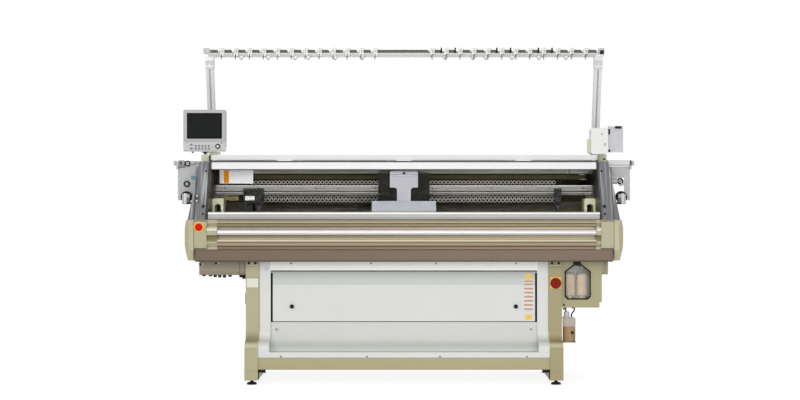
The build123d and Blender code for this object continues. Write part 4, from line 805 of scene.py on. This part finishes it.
def guard_sheet():
    """Sheet behind the beds with staggered rows of round holes."""
    bm = bmesh.new()
    y, half_cell = GUARD_FRONT + 0.002, HOLE_PITCH / 2

    def strip(x0, x1, z0, z1):
        """A plain part of the sheet."""
        bm.faces.new([bm.verts.new(p) for p in ((x0, y, z0), (x1, y, z0), (x1, y, z1), (x0, y, z1))])

    low = GUARD_LOW
    for row, (z, radius, high) in enumerate(HOLE_ROWS):
        start = row_start(row)
        for i in range(HOLE_COUNT):
            holed_cell(bm, y, start + i * HOLE_PITCH, z, radius, high)
        z0, z1 = z - high / 2, z + high / 2
        if z0 - low > 0.0005:
            strip(-GUARD_HALF, GUARD_HALF, low, z0)
        strip(-GUARD_HALF, start - half_cell, z0, z1)
        strip(start + (HOLE_COUNT - 0.5) * HOLE_PITCH, GUARD_HALF, z0, z1)
        low = z1
    strip(-GUARD_HALF, GUARD_HALF, low, GUARD_BAND)
    strip(-GUARD_REACH, GUARD_REACH, GUARD_BAND, GUARD_HIGH)
    bmesh.ops.remove_doubles(bm, verts=bm.verts, dist=1e-5)
    back = bmesh.ops.extrude_face_region(bm, geom=bm.faces[:], use_keep_orig=True)["geom"]
    bmesh.ops.translate(bm, verts=[v for v in back if isinstance(v, bmesh.types.BMVert)],
                        vec=(0, -GUARD_THICK, 0))
    bmesh.ops.recalc_face_normals(bm, faces=bm.faces)
    return finish_piece("guard_sheet", bm, GUARD_DARK, "bright_steel")


def guard_rims():
    """Raised bright rims round the guard's holes, and dark strips behind them as painted shade seen through
    the holes.
    """
    bm = bmesh.new()
    for row, (z, radius, _) in enumerate(HOLE_ROWS):
        inner, outer = radius - 0.0004, radius + RIM_WIDTH
        for i in range(HOLE_COUNT):
            turned(bm, [(inner, -0.001), (inner, RIM_HIGH), (outer - 0.0008, RIM_HIGH), (outer, 0)],
                   facing_front(row_start(row) + i * HOLE_PITCH, GUARD_FRONT, z), 14)
    finish_piece("guard_rims", bm, RIM_METAL, "bright_steel")
    half = GUARD_HALF - 0.002
    trims("guard_hole_shade", [((-half, GUARD_FRONT + 0.0024, z - HOLE_SHADE_HALF),
                            (half, GUARD_FRONT + 0.0040, z + HOLE_SHADE_HALF)) for z, _, _ in HOLE_ROWS],
          SEAM_BLACK, "rubber")


def bed_needles():
    """Needles lying in the grooves of both beds."""
    bm = bmesh.new()
    count = int(2 * BED_HALF / NEEDLE_PITCH) - 4
    for front in (-1, 1):
        lean = Matrix.Rotation(front * BED_LEAN, 4, "X").inverted()
        for i in range(count):
            x = (i - (count - 1) / 2) * NEEDLE_PITCH
            place = Matrix.Translation((x, GAP_Y + front * 0.006, CREST_Z)) @ lean
            long = place @ Matrix.Translation((0, front * 0.094, 0.0006)) @ Matrix.Diagonal(NEEDLE_SIZE)
            bmesh.ops.create_cube(bm, size=1.0, matrix=long)
    finish_piece("bed_needles", bm, NEEDLE_STEEL, "bright_steel")


def inner_fittings():
    """Plates, castings and small fittings seen through the window, with strips of painted shade and painted
    highlight on the rails and at the window's gap.
    """
    blocks("window_white_plate", [((-1.111, 0.0105, 1.162), (-0.9036, 0.0148, 1.2436))],
           WHITE_LABEL_AND_HIGHLIGHT, "white_plastic")
    blocks("window_orange_bar", [((-1.079, 0.0100, 1.166), (-1.049, 0.0107, 1.2400))], ORANGE,
           "red_plastic", round_by=0.0001)
    blocks("left_dark_cover", [((-1.1278, -0.105, 1.161), (-1.101, -0.02, 1.245))], BODY_BLACK,
           "black_plastic", round_by=0.002)
    blocks("olive_inner_block", [((-1.142, -0.074, 1.0615), (-0.982, -0.045, 1.1045))], OLIVE_SHADE,
           "dark_paint", round_by=0.002)
    blocks("grey_inner_box", [((0.992, -0.016, 1.2238), (1.098, 0.0148, 1.2434))], BOX_GREY,
           "light_plastic", round_by=0.002)
    gathered("white_inner_pins", [
        (rod, 0.004, (x, -0.164, 0.998), (x, -0.164, 1.026), 14, 0.001) for x in (-1.074, 1.074)], *WHITE)
    gathered("rail_screws", [
        (screw_head, x, *values) for x in (-1.06, -0.86, -0.52, -0.17, 0.17, 0.52, 0.86, 1.06)
        for values in ((-0.110, 1.134, 0.0045, 0.002), (-0.114, 1.1015, 0.0035, 0.0015))], *BLACK)
    # A black seal strip along the gap between the table and the cover's rail, which also stands for the shade
    # in that gap.
    blocks("window_seal_and_gap_shade", [((-1.124, -0.2262, 1.2862), (1.124, -0.2222, 1.2930))], SEAM_BLACK,
           "rubber", "front_cover", 0.0003)
    blocks("rail_cap", [((-1.124, -0.2312, 1.2830), (1.124, -0.2212, 1.2862)),
                        ((-1.124, -0.2345, 1.2450), (1.124, -0.2150, 1.2492))], RAIL_PAINT,
           "white_paint", "front_cover", 0.0006)
    half = RAIL_HALF
    # The first strip is painted shade in the gap between the rails; the other two are dark lines on the upper
    # rail.
    trims("rail_dark_lines", [((-1.111, -0.0925, 1.1098), (1.111, -0.0895, 1.1168)),
                              ((-half, -0.1103, 1.1318), (half, -0.1085, 1.1328)),
                              ((-half, -0.1103, 1.1236), (half, -0.1085, 1.1243))], SEAM_GREY, "dark_paint")
    # Painted highlights along the rails' top edges.
    trims("rail_highlight_lines", [((-half, -0.1104, 1.1478), (half, -0.1085, 1.1500)),
                                ((-half, -0.1144, 1.1078), (half, -0.1125, 1.1092))], WHITE_LABEL_AND_HIGHLIGHT,
          "bright_steel")


def carriers():
    """Plate, dots and feeder stalks on the yarn carriers."""
    blocks("left_carrier_plate", [((-0.938, -0.1425, 1.062), (-0.882, -0.1395, 1.088))], PLATE_GREY,
           "bright_steel", "carrier_left")
    gathered("left_carrier_dots", [(disc, 0.0032, 0.001, facing_front(x, -0.1423, 1.075), 12)
                                   for x in (-0.928, -0.915, -0.902, -0.889)], *WHITE, "carrier_left")
    gathered("left_feeder_stalks", [(rod, 0.0022, (x, -0.128, 1.046), (-0.858, -0.117, 1.003), 10)
                                    for x in (-0.874, -0.855, -0.836)], *STEEL, "carrier_left")
    gathered("right_feeder_stalks", [(rod, 0.0022, (x, -0.139, 1.075), (0.910, -0.117, 1.003), 10)
                                     for x in (0.896, 0.910, 0.924)], *STEEL, "carrier_right")


# Carriage

def carriage_details():
    """Banded head plates with their mark, and the seam of the lower cover."""
    y, half = BRIDGE_FRONT, HEAD_HALF
    trims("head_bands", [((-half, y - 0.0034, 1.2260), (half, y + 0.002, 1.2345)),
                         ((-half, y - 0.0034, 1.2130), (half, y + 0.002, 1.2165))], HEAD_DARK,
          "cast_aluminium", "carriage")
    trims("head_plates", [((-half, y - 0.0030, 1.2165), (half, y + 0.002, 1.2260)),
                          ((-half, y - 0.0030, 1.2020), (half, y + 0.002, 1.2130))], HEAD_LIGHT,
          "cast_aluminium", "carriage")
    blocks("head_mark", [((-0.010, y - 0.0042, 1.2165), (0.010, y + 0.002, 1.2235)),
                         ((-0.005, y - 0.0042, 1.2235), (0.005, y + 0.002, 1.2310))], BODY_BLACK,
           "black_plastic", "carriage", 0.0003)
    trims("cover_seam", [((-0.1865, COVER_FRONT + 0.0700, 1.0560), (0.1865, COVER_FRONT + 0.0885, 1.0572))],
          SEAM_GREY, "dark_paint", "carriage")


# Front, ends and legs

def front_ends():
    """Seams, collar and screws on the corners, and the fascia's line."""
    y = CORNER_FRONT
    trims("corner_seams", both_sides([((-1.2012, y - 0.0004, 0.722), (-1.1988, y + 0.004, 0.949))])
          + both_sides([((-1.1262, y - 0.0006, 0.788), (-1.1246, y + 0.003, 0.948))]), SEAM_DARK,
          "dark_paint")
    trims("fascia_line", [((-1.1985, -0.4530, 0.7795), (1.1985, -0.4500, 0.7822))], SEAM_DARK, "dark_paint")
    gathered("stop_collar", [(ring, 0.0215, 0.030, 0.0028, facing_front(STOP_X, y - 0.003, STOP_Z), 40)],
             YELLOW, "red_plastic")
    gathered("corner_screws", [(screw_head, x, y, 0.802, 0.0035, 0.0015)
                               for x in (-1.186, -1.141, 1.141, 1.186)], *STEEL)


def slope_front(z):
    """Depth of the side covers' sloped front at a height."""
    return SLOPE_LOW[0] + (z - SLOPE_LOW[1]) * (SLOPE_HIGH[0] - SLOPE_LOW[0]) / (SLOPE_HIGH[1] - SLOPE_LOW[1])


def side_cover_details():
    """Screws, edge strips and yarn inlet, with its eyelets, of the smoked side covers."""
    bm = bmesh.new()
    for side in (-1, 1):
        for rise in (0.985, 1.235):
            turned(bm, [(0.006, 0), (0.006, 0.004), (0.0045, 0.005), (0, 0.005)],
                   facing_front(side * 1.154, slope_front(rise) + 0.001, rise), 16)
        turned(bm, [(0.009, 0), (0.009, 0.009), (0.0075, 0.011), (0, 0.011)],
               facing_front(side * 1.155, slope_front(1.029) + 0.004, 1.029), 18)
    finish_piece("side_cover_screws", bm, *BLACK)
    bm = bmesh.new()
    for side in (-1, 1):
        for x, top in ((1.139, 1.284), (1.205, 1.20)):
            ends = [(side * x, slope_front(z) - 0.0006, z) for z in (0.958, top)]
            rod(bm, 0.0018, ends[0], ends[1], 8)
    finish_piece("side_cover_edges", bm, *BLACK)
    tilt = math.atan2(SLOPE_HIGH[0] - SLOPE_LOW[0], SLOPE_HIGH[1] - SLOPE_LOW[1])
    lean, upright = Matrix.Rotation(-tilt, 4, "X"), Matrix.Rotation(math.radians(90), 4, "X")
    gathered("inlet_eyelets", [
        (ring, 0.0025, 0.006, 0.003,
         Matrix.Translation((INLET_X, slope_front(z) + 0.0005, z)) @ lean @ upright, 18)
        for z in (1.060, 1.088)], CERAMIC, "white_plastic")
    bm = bmesh.new()
    place = Matrix.Translation((INLET_X, slope_front(INLET_Z) + 0.0012, INLET_Z)) @ lean
    bmesh.ops.create_cube(bm, size=1.0, matrix=place @ Matrix.Diagonal((0.030, 0.002, 0.054, 1)))
    finish_piece("inlet_plate", bm, SEAM_GREY, "black_plastic")


def leg_details():
    """Painted highlight lines, seams, plates and screws on the legs and the boxes beside them, brackets with
    a strip of painted shadow, and the switch's plate.
    """
    y = LEG_FRONT
    # Painted highlight lines along a seam near the legs' tops.
    trims("leg_highlight_lines", both_sides([((-0.9155, y - 0.0003, 0.6835), (-0.8425, y + 0.002, 0.6865))]),
          PAINTED_HIGHLIGHT, "beige_paint")
    seams = ((y - 0.0002, y + 0.002, 0.6812, 0.6826), (y - 0.0002, y + 0.002, 0.6158, 0.6172),
             (y - 0.0002, y + 0.002, 0.5555, 0.5569), (LEG_TOE - 0.0003, LEG_TOE + 0.002, 0.0822, 0.0838),
             (LEG_TOE - 0.0003, LEG_TOE + 0.002, 0.2088, 0.2104))
    trims("leg_seams", both_sides([((LEG_OUTER, front, z0), (LEG_INNER, back, z1))
                                   for front, back, z0, z1 in seams]), LEG_SEAM, "dark_paint")
    blocks("left_leg_plate", [((-0.911, y - 0.0012, 0.5575), (-0.845, y + 0.001, 0.6105))], PALE_PLATE,
           "light_plastic", round_by=0.0005)
    blocks("leg_side_part", [((-0.9210, y + 0.010, 0.4630), (-0.9100, y + 0.040, 0.5280))], *BLACK)
    # Black brackets, and a thin black strip down each leg's inner side that is painted shadow.
    blocks("beam_brackets_and_leg_shadow", both_sides([((-0.8405, -0.3750, 0.0700), (-0.8000, -0.3350, 0.0885)),
                                        ((-0.8405, -0.3750, 0.0290), (-0.8375, -0.3450, 0.0705))]),
           *BLACK, round_by=0.001)
    blocks("switch_plate", [((SWITCH_X - 0.0322, y - 0.0034, 0.5515),
                             (SWITCH_X + 0.0322, y - 0.0004, 0.6195))], YELLOW, "red_plastic",
           round_by=0.0004)
    gathered("black_screws", [
        *((screw_head, x, y, 0.699, 0.0075, 0.004) for x in (-0.8988, -0.8605, 0.8588, 0.8977)),
        (screw_head, -1.1854, LEFT_BOX_FRONT, 0.6905, 0.0065, 0.003),
        (screw_head, -1.0935, LEFT_BOX_FRONT, 0.6963, 0.0065, 0.003),
        (screw_head, 0.9301, -0.300, 0.4560, 0.0055, 0.003)], *BLACK)
    blocks("left_box_dots", [((x, -0.2912, z), (x + 0.007, -0.2895, z + 0.007))
                             for x, z in ((-1.174, 0.689), (-1.082, 0.693))], *WHITE, round_by=0.0003)


def left_box_details():
    """Seams of the box under the left end, and the plugs below it."""
    trims("left_box_seam", [((-1.1905, -0.2904, 0.6455), (-0.9175, -0.289, 0.6468))], SEAM_DARK,
          "dark_paint")
    trims("left_box_edge", [((-0.9560, -0.2906, 0.6285), (-0.9535, -0.289, 0.7115))], SEAM_DARK,
          "dark_paint")
    bm = bmesh.new()
    for x, y, drop in ((-1.165, -0.27, 0.005), (-1.128, -0.262, 0.006), (-1.100, -0.27, 0.010),
                       (-1.074, -0.262, 0.012), (-1.046, -0.268, 0.013), (-1.014, -0.262, 0.009),
                       (-0.950, -0.262, 0.012), (-0.932, -0.270, 0.020)):
        rod(bm, 0.012, (x, y, 0.629), (x, y, 0.6255), 16, 0.001)
        rod(bm, 0.010, (x, y, 0.626), (x, y, 0.6255 - drop), 14, 0.002)
    finish_piece("left_box_plugs", bm, *BLACK)


def skirt_details():
    """Seams, screws, label fields, seals and mark on the skirt and its door."""
    y, door = SKIRT_FRONT, DOOR_FRONT
    gathered("skirt_screws", [
        (screw_head, x, front, z, 0.0055, 0.002) for front, z, places in (
            (y, 0.6969, (-0.6539, -0.1911, 0.1847, 0.6516)), (y, 0.3148, (-0.7399, 0.7382)),
            (SKIRT_TOE, 0.1643, (-0.7084, -0.2129, 0.2077, 0.7078))) for x in places], *STEEL)
    trims("skirt_seams", both_sides([((-0.8405, y - 0.0003, 0.300), (-0.8392, y + 0.002, 0.711))]),
          SEAM_GREY, "dark_paint")
    trims("skirt_mark", [((x0, y - 0.0008, z0), (x1, y + 0.001, z1)) for x0, x1, z0, z1 in (
        (-0.8085, -0.7925, 0.6555, 0.6572), (-0.8085, -0.7925, 0.6698, 0.6715),
        (-0.8085, -0.8068, 0.6572, 0.6698), (-0.7942, -0.7925, 0.6572, 0.6698))], MARK_GREY,
          "light_plastic")
    blocks("label_bars", [((0.699, door - 0.0006, z - 0.0048), (0.749, door + 0.001, z + 0.0048))
                          for z in (0.5924, 0.575, 0.550, 0.5268, 0.503, 0.4792, 0.4553, 0.431)],
           LABEL_ORANGE, "red_plastic", "door", 0.0002)
    blocks("label_backing", [((0.6955, door - 0.0003, 0.4205), (0.7525, door + 0.001, 0.6025))],
           LABEL_BACK, "white_plastic", "door", 0.0001)
    blocks("label_fields", [((0.706, door - 0.0006, z), (0.742, door + 0.001, z + 0.028))
                            for z in (0.608, 0.370)], YELLOW, "red_plastic", "door", 0.0002)
    trims("door_seals", both_sides([((-0.7765, -0.2825, 0.3530), (-0.7560, -0.2798, 0.6560))])
          + [((-0.7765, -0.2825, 0.3530), (0.7765, -0.2798, 0.3640)),
             ((-0.7765, -0.2825, 0.6450), (0.7765, -0.2798, 0.6580))], SEAM_BLACK, "rubber")


# Control panel

def panel_details():
    """Screen, lamps, keys, dial ring and ledges of the panel."""
    y, back = PANEL_FRONT, PANEL_FRONT + SCREEN_DEPTH
    half, low = SCREEN_WIDTH / 2, SCREEN_TOP - SCREEN_HEIGHT
    blocks("screen_edge", [((PANEL_X - half + 0.0005, back - 0.001, low + 0.0005),
                            (PANEL_X + half - 0.0005, back, SCREEN_TOP - 0.0005))], SCREEN_EDGE,
           "black_plastic", "panel", 0.0003)
    blocks("screen_glass", [((PANEL_X - half + 0.009, back - 0.0014, low + 0.009),
                             (PANEL_X + half - 0.009, back - 0.0008, SCREEN_TOP - 0.009))],
           SCREEN_GLASS, "black_plastic", "panel", 0.0002)
    trims("panel_ledge", [((PANEL_X - PANEL_HALF, y - 0.0003, z0), (PANEL_X + PANEL_HALF, y + 0.001, z1))
                          for z0, z1 in ((1.4134, 1.4144), (1.3578, 1.3586))], SEAM_GREY, "dark_paint",
          "panel")
    blocks("pad_keys", [((x - 0.0052, y - 0.0018, z - 0.0052), (x + 0.0052, y - 0.001, z + 0.0052))
                        for x in [PAD_X + i * PAD_PITCH for i in range(PAD_COLUMNS)] for z in PAD_ROWS],
           KEY_GREY, "light_plastic", "panel", 0.0004)
    for name, x, z, radius, material, slot in (
            ("red_lamp", -1.2842, 1.4044, 0.0032, RED_SPOT, "red_plastic"),
            ("red_key", -1.1329, 1.3777, 0.0034, RED_SPOT, "red_plastic"),
            ("dark_lamp", -1.0790, 1.4020, 0.0034, *BLACK)):
        gathered(name, [(disc, radius, 0.0012, facing_front(x, y, z), 18)], material, slot, "panel")
    gathered("dial_cap", [(disc, 0.0082, 0.0012, facing_front(DIAL_X, DIAL_FRONT, DIAL_Z), 28)],
             PLATE_GREY, "bright_steel", "dial")
    gathered("dial_ring", [(ring, 0.0135, 0.0158, 0.0012, facing_front(DIAL_X, y, DIAL_Z), 32)],
             SEAM_GREY, "dark_paint", "panel")


def panel_stand():
    """Brackets, knob and plugs round the panel's foot."""
    blocks("panel_strip", [((-1.1500, -0.0800, 1.3345), (-1.090, -0.074, 1.3484))], OLIVE_LIGHT,
           "cover_paint", "panel")
    blocks("panel_plug", [((-1.2570, -0.106, 1.3430), (-1.2480, -0.096, 1.3520))], *BLACK, "panel", 0.001)
    gathered("panel_knob", [
        (rod, 0.0080, (-1.1787, -0.0985, 1.3455), (-1.1787, -0.1065, 1.3455), 20, 0.001)], *BLACK, "panel")
    gathered("neck_screw", [(screw_head, -1.1757, -0.090, 1.2885, 0.006, 0.004)], *BLACK)
    blocks("neck_bracket", [((-1.1575, -0.0895, 1.2553), (-1.1480, -0.080, 1.3075))], OLIVE_LIGHT,
           "cover_paint")
    blocks("neck_plugs", [((-1.1460, -0.1890, 1.2880), (-1.1358, -0.165, 1.3260)),
                          ((-1.1440, -0.160, 1.2950), (-1.1358, -0.140, 1.3180))], *BLACK, round_by=0.002)


# Right box and board

def right_box_details():
    """Plate and screws of the right housing and its neck, and the board's border and clips."""
    blocks("right_box_plate", [((1.0866, -0.152, 1.3405), (1.1005, -0.095, 1.4240))], OLIVE_LIGHT,
           "cover_paint", round_by=0.001)
    gathered("right_box_screws", [
        (screw_head, 1.1628, -0.190, 1.4514, 0.0045, 0.002),
        (ring, 0.004, 0.0075, 0.0015, facing_front(1.181, -0.190, 1.3908), 20)], *STEEL)
    y0, y1, x0, x1, z0, z1, w = -0.1768, -0.1745, 1.2005, 1.2905, 1.3455, 1.4995, 0.0042
    blocks("board_border", [((x0, y0, z0), (x1, y1, z0 + w)), ((x0, y0, z1 - w), (x1, y1, z1)),
                            ((x0, y0, z0), (x0 + w, y1, z1)), ((x1 - w, y0, z0), (x1, y1, z1))],
           BORDER_WHITE, "white_plastic", round_by=0.0004)
    blocks("board_clips", [((1.2427, -0.1800, 1.4850), (1.2790, -0.1560, 1.4998)),
                           ((1.2000, -0.1800, 1.4507), (1.2120, -0.1560, 1.4818)),
                           ((1.1945, -0.1800, 1.3471), (1.2139, -0.1560, 1.3610))], *BLACK, round_by=0.001)
    gathered("right_neck_screws", [(rod, 0.006, (x, -0.086, z), (x, -0.098, z), 16, 0.001)
                                   for x, z in ((1.1303, 1.3236), (1.1876, 1.3065))], *BLACK)
    blocks("right_neck_strip", [((1.2020, -0.092, 1.2625), (1.2080, -0.084, 1.3015))], SEAM_DARK,
           "black_plastic")


# Side plates

def side_plate_details():
    """Tyres, hubs, arches, motors and guides on the side plates."""
    tyres, hubs, dark, pale = (bmesh.new() for _ in range(4))
    y = PLATE_FRONT
    for x, z, radius in ((-1.286, 1.160, 0.0192), (1.280, 1.177, 0.0192), (-1.2815, 1.2795, 0.0175)):
        place = facing_front(x, y, z)
        ring(tyres, 0.0105, radius, 0.007, place, 32)
        disc(hubs, 0.0102, 0.004, place, 24)
        ring(tyres, 0.0020, 0.0045, 0.006, place, 16)
    for side in (-1, 1):
        block(dark, (side * 1.256, -0.1508, 1.0402), (side * 1.2825, -0.1012, 1.0520), 0.002)
        block(pale, (side * 1.2985, -0.1508, 1.0420), (side * 1.2830, -0.114, 1.1040), 0.001)
        ring(tyres, 0.0205, 0.0345, 0.0025, facing_front(side * 1.287, -0.1140, 1.0825), 36)
        block(dark, (side * 1.256, -0.1300, 1.0830), (side * 1.276, -0.1130, 1.1030), 0.002)
    rod(hubs, 0.0095, (-1.2640, y, 1.2830), (-1.2380, y, 1.2830), 20, 0.003)
    rod(hubs, 0.0035, (-1.2380, y, 1.2850), (-1.2050, y, 1.2880), 14)
    block(dark, (-1.3405, -0.1030, 1.2560), (-1.2960, -0.0998, 1.2590), 0.0005, 1)
    rod(hubs, 0.0045, (-1.2539, -0.112, 1.1663), (-1.2539, -0.099, 1.1663), 16)
    rod(hubs, 0.0185, (1.2250, y, 1.1770), (1.2640, y, 1.1770), 24, 0.004)
    finish_piece("plate_tyres", tyres, FINISH["rubber"], "rubber")
    finish_piece("plate_hubs", hubs, PLATE_GREY, "bright_steel")
    finish_piece("plate_dark_parts", dark, *BLACK)
    finish_piece("plate_pale_parts", pale, *WHITE)
    blocks("blue_clip", [((-1.2620, -0.1060, 1.1870), (-1.2270, -0.0992, 1.2065))], BLUE_PLASTIC,
           "light_plastic", round_by=0.002)
    gathered("left_roller_face", [(disc, 0.0095, 0.004, facing_front(-1.317, -0.1375, 1.283), 24)],
             SEAM_GREY, "bright_steel", "feed_left")
    gathered("right_roller_cap", [(rod, 0.0163, (1.3345, -0.122, 1.283), (1.346, -0.122, 1.283), 24, 0.003)],
             SEAM_GREY, "bright_steel")


# Filter box, switch and bottle

def lid_seal():
    """Seal along the lid's edge, with its cut corners."""
    x0, x1, z0, z1 = LID_LEFT, LID_RIGHT, LID_LOW, LID_HIGH
    cut, drop, foot = 0.052, 0.040, 0.017
    outer = [(x0 + foot, z0), (x1 - foot, z0), (x1, z0 + foot), (x1, z1 - drop), (x1 - cut, z1),
             (x0 + cut, z1), (x0, z1 - drop), (x0, z0 + foot)]
    middle = Vector(((x0 + x1) / 2, (z0 + z1) / 2))
    inner = [(middle.x + (x - middle.x) * 0.90, middle.y + (z - middle.y) * 0.925) for x, z in outer]
    nexts = [(k + 1) % 8 for k in range(8)]
    gathered("lid_seal", [(slab, [outer[k], outer[n], inner[n], inner[k]], -0.3066, -0.3050)
                          for k, n in enumerate(nexts)], FINISH["rubber"], "rubber", "lid")


def filter_details():
    """Cartridges, screws, latch and fittings of the filter box, and the switch's grip ring."""
    lid_seal()
    pleats, caps = bmesh.new(), bmesh.new()
    y = CARTRIDGE_Y
    for x in CARTRIDGE_PLACES:
        for k in range(PLEAT_COUNT):
            turn = math.tau * k / PLEAT_COUNT
            px, py = x + PLEAT_REACH * math.cos(turn), y + PLEAT_REACH * math.sin(turn)
            rod(pleats, 0.0022, (px, py, 0.506), (px, py, 0.628), 6)
        rod(caps, 0.0288, (x, y, 0.626), (x, y, 0.6385), 28, 0.001)
        rod(caps, 0.0288, (x, y, 0.4995), (x, y, 0.508), 28, 0.001)
    finish_piece("cartridge_pleats", pleats, FINISH["filter_paper"], "filter_paper")
    finish_piece("cartridge_caps", caps, BOX_GREY, "light_plastic")
    gathered("filter_screws", [
        *((rod, 0.004, (x, -0.156, z), (x, -0.170, z), 12, 0.001)
          for x, z in ((0.9666, 0.6672), (1.0374, 0.6689), (0.9521, 0.6527))),
        (screw_head, 1.1700, -0.290, 0.6918, 0.005, 0.002),
        (screw_head, 1.1583, -0.290, 0.6420, 0.005, 0.002)], *STEEL)
    blocks("filter_latch", [((0.984, -0.3160, 0.6885), (1.0263, -0.3050, 0.7080))], *BLACK, "lid", 0.002)
    pipe = [(0.944, -0.275, 0.4415), (0.941, -0.278, 0.428), (0.945, -0.272, 0.414)]
    gathered("oil_fittings", [
        (bent_rod, 0.0042, pipe, 12), (block, (0.9280, -0.2880, 0.4260), (0.9360, -0.2700, 0.4410), 0.002),
        (rod, 0.0075, (0.985, -0.270, 0.4410), (0.985, -0.270, 0.4330), 16, 0.001)], *BLACK)
    gathered("switch_grip_ring", [
        (turned, [(0.0150, 0), (0.0150, 0.0012), (0.0172, 0.0012), (0.0172, 0)],
         facing_front(SWITCH_X, -0.3480, SWITCH_Z), 28)], GRIP_RED, "red_plastic", "power_switch")


def bottle():
    """Bottle with a shell, the oil that it holds, its cap and its fitting."""
    middle = Matrix.Translation((BOTTLE_X, BOTTLE_Y, 0))
    radius, wall = BOTTLE_RADIUS, BOTTLE_WALL
    shell = gathered("bottle_shell", [(turned, [
        (0, 0.2402), (radius - 0.004, 0.2402), (radius - 0.0005, 0.2435), (radius - 0.0005, 0.374),
        (radius - 0.008, 0.3815), (radius - 0.008 - wall, 0.380), (radius - wall - 0.0005, 0.3732),
        (radius - wall - 0.0005, 0.2445), (radius - 0.005, 0.2418), (0, 0.2418)], middle, 40)],
        FINISH["oil"], "oil")
    inner = radius - wall - 0.0008
    gathered("bottle_oil", [(turned, [
        (0, 0.2421), (inner - 0.004, 0.2421), (inner, 0.2452), (inner, 0.3270), (0, 0.3270)], middle, 40)],
        OIL_FILL, "oil")
    gathered("bottle_cap", [(turned, [
        (0, 0.3795), (0.028, 0.3795), (0.029, 0.3835), (0.0165, 0.3850), (0.0165, 0.4120),
        (0.0140, 0.4148), (0, 0.4148)], Matrix.Translation((BOTTLE_X - 0.015, BOTTLE_Y, 0)), 32)],
        FINISH["light_plastic"], "light_plastic")
    gathered("bottle_fitting", [(rod, 0.009, (0.9774, -0.305, 0.2945), (0.9774, -0.3072, 0.2945), 18,
                                 0.0005)], *BLACK)
    return shell


# Stage

def white_for_camera(tree, lit, seen, target):
    """Shows one shader to the camera and in gloss and glass, and the lit one elsewhere."""
    rays = tree.nodes.new("ShaderNodeLightPath")
    direct = math_node(tree, "MAXIMUM", rays.outputs["Is Camera Ray"],
                       math_node(tree, "MAXIMUM", rays.outputs["Is Glossy Ray"],
                                 rays.outputs["Is Transmission Ray"]))
    mix = tree.nodes.new("ShaderNodeMixShader")
    link(tree, direct, mix.inputs["Fac"])
    link(tree, lit, mix.inputs[1])
    link(tree, seen, mix.inputs[2])
    link(tree, mix.outputs["Shader"], target)


def floor():
    """Pale floor with a soft shade, which counts as stage."""
    bm = bmesh.new()
    bmesh.ops.create_grid(bm, x_segments=1, y_segments=1, size=FLOOR_SIZE)
    mesh = bpy.data.meshes.new("floor")
    bm.to_mesh(mesh)
    bm.free()
    ground = bpy.data.objects.new("floor", mesh)
    bpy.context.scene.collection.objects.link(ground)
    made, tree, shader = start_material("floor_white")
    shader.inputs["Base Color"].default_value = (FLOOR_GREY, FLOOR_GREY, FLOOR_GREY, 1)
    shader.inputs["Roughness"].default_value = FLOOR_GLOSS
    glow = tree.nodes.new("ShaderNodeEmission")
    glow.inputs["Strength"].default_value = FLOOR_GLOW
    shade = tree.nodes.new("ShaderNodeBsdfDiffuse")
    shade.inputs["Color"].default_value = (FLOOR_SHADE, FLOOR_SHADE, FLOOR_SHADE, 1)
    both = tree.nodes.new("ShaderNodeAddShader")
    link(tree, glow.outputs["Emission"], both.inputs[0])
    link(tree, shade.outputs["BSDF"], both.inputs[1])
    white_for_camera(tree, shader.outputs["BSDF"], both.outputs["Shader"],
                     tree.nodes["Material Output"].inputs["Surface"])
    mesh.materials.append(made)


def surroundings():
    """White world, seen plainly by the camera and dimmed as a source of light."""
    world = bpy.data.worlds.new("studio_white")
    bpy.context.scene.world = world
    world.use_nodes = True
    tree = world.node_tree
    lit, seen = tree.nodes["Background"], tree.nodes.new("ShaderNodeBackground")
    for node, strength in ((lit, WORLD_STRENGTH), (seen, 1.0)):
        node.inputs["Color"].default_value = (1, 1, 1, 1)
        node.inputs["Strength"].default_value = strength
    white_for_camera(tree, lit.outputs["Background"], seen.outputs["Background"],
                     tree.nodes["World Output"].inputs["Surface"])


def lamps():
    """Soft lamps in front and above."""
    for name, (place, target, size, power) in LAMPS.items():
        lamp = bpy.data.lights.new(name, "AREA")
        lamp.shape = "RECTANGLE"
        lamp.size, lamp.size_y = size
        lamp.energy = power
        holder = bpy.data.objects.new(name, lamp)
        holder.location = place
        holder.rotation_mode = "QUATERNION"
        holder.rotation_quaternion = (Vector(target) - Vector(place)).to_track_quat("-Z", "Y")
        bpy.context.scene.collection.objects.link(holder)
    bpy.context.scene.view_settings.view_transform = "Standard"


def camera():
    """Camera at the photograph's distance, height and framing."""
    made = bpy.data.cameras.new("camera")
    made.sensor_width, made.lens = CAMERA_SENSOR, CAMERA_LENS
    made.shift_x, made.shift_y = CAMERA_SHIFT
    made.clip_end = 200
    holder = bpy.data.objects.new("camera", made)
    holder.location = CAMERA_PLACE
    holder.rotation_euler = (math.radians(90), 0, 0)
    bpy.context.scene.collection.objects.link(holder)
    bpy.context.scene.camera = holder


camera()
floor()
surroundings()
lamps()
dress_solids()
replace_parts(top_beam(), "yarn_beam")
olive_strips()
thread_units()
beam_ends()
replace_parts(guard_sheet(), "perforated_guard")
guard_rims()
bed_needles()
inner_fittings()
carriers()
carriage_details()
front_ends()
side_cover_details()
leg_details()
left_box_details()
skirt_details()
panel_details()
panel_stand()
right_box_details()
side_plate_details()
filter_details()
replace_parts(bottle(), "oil_bottle")
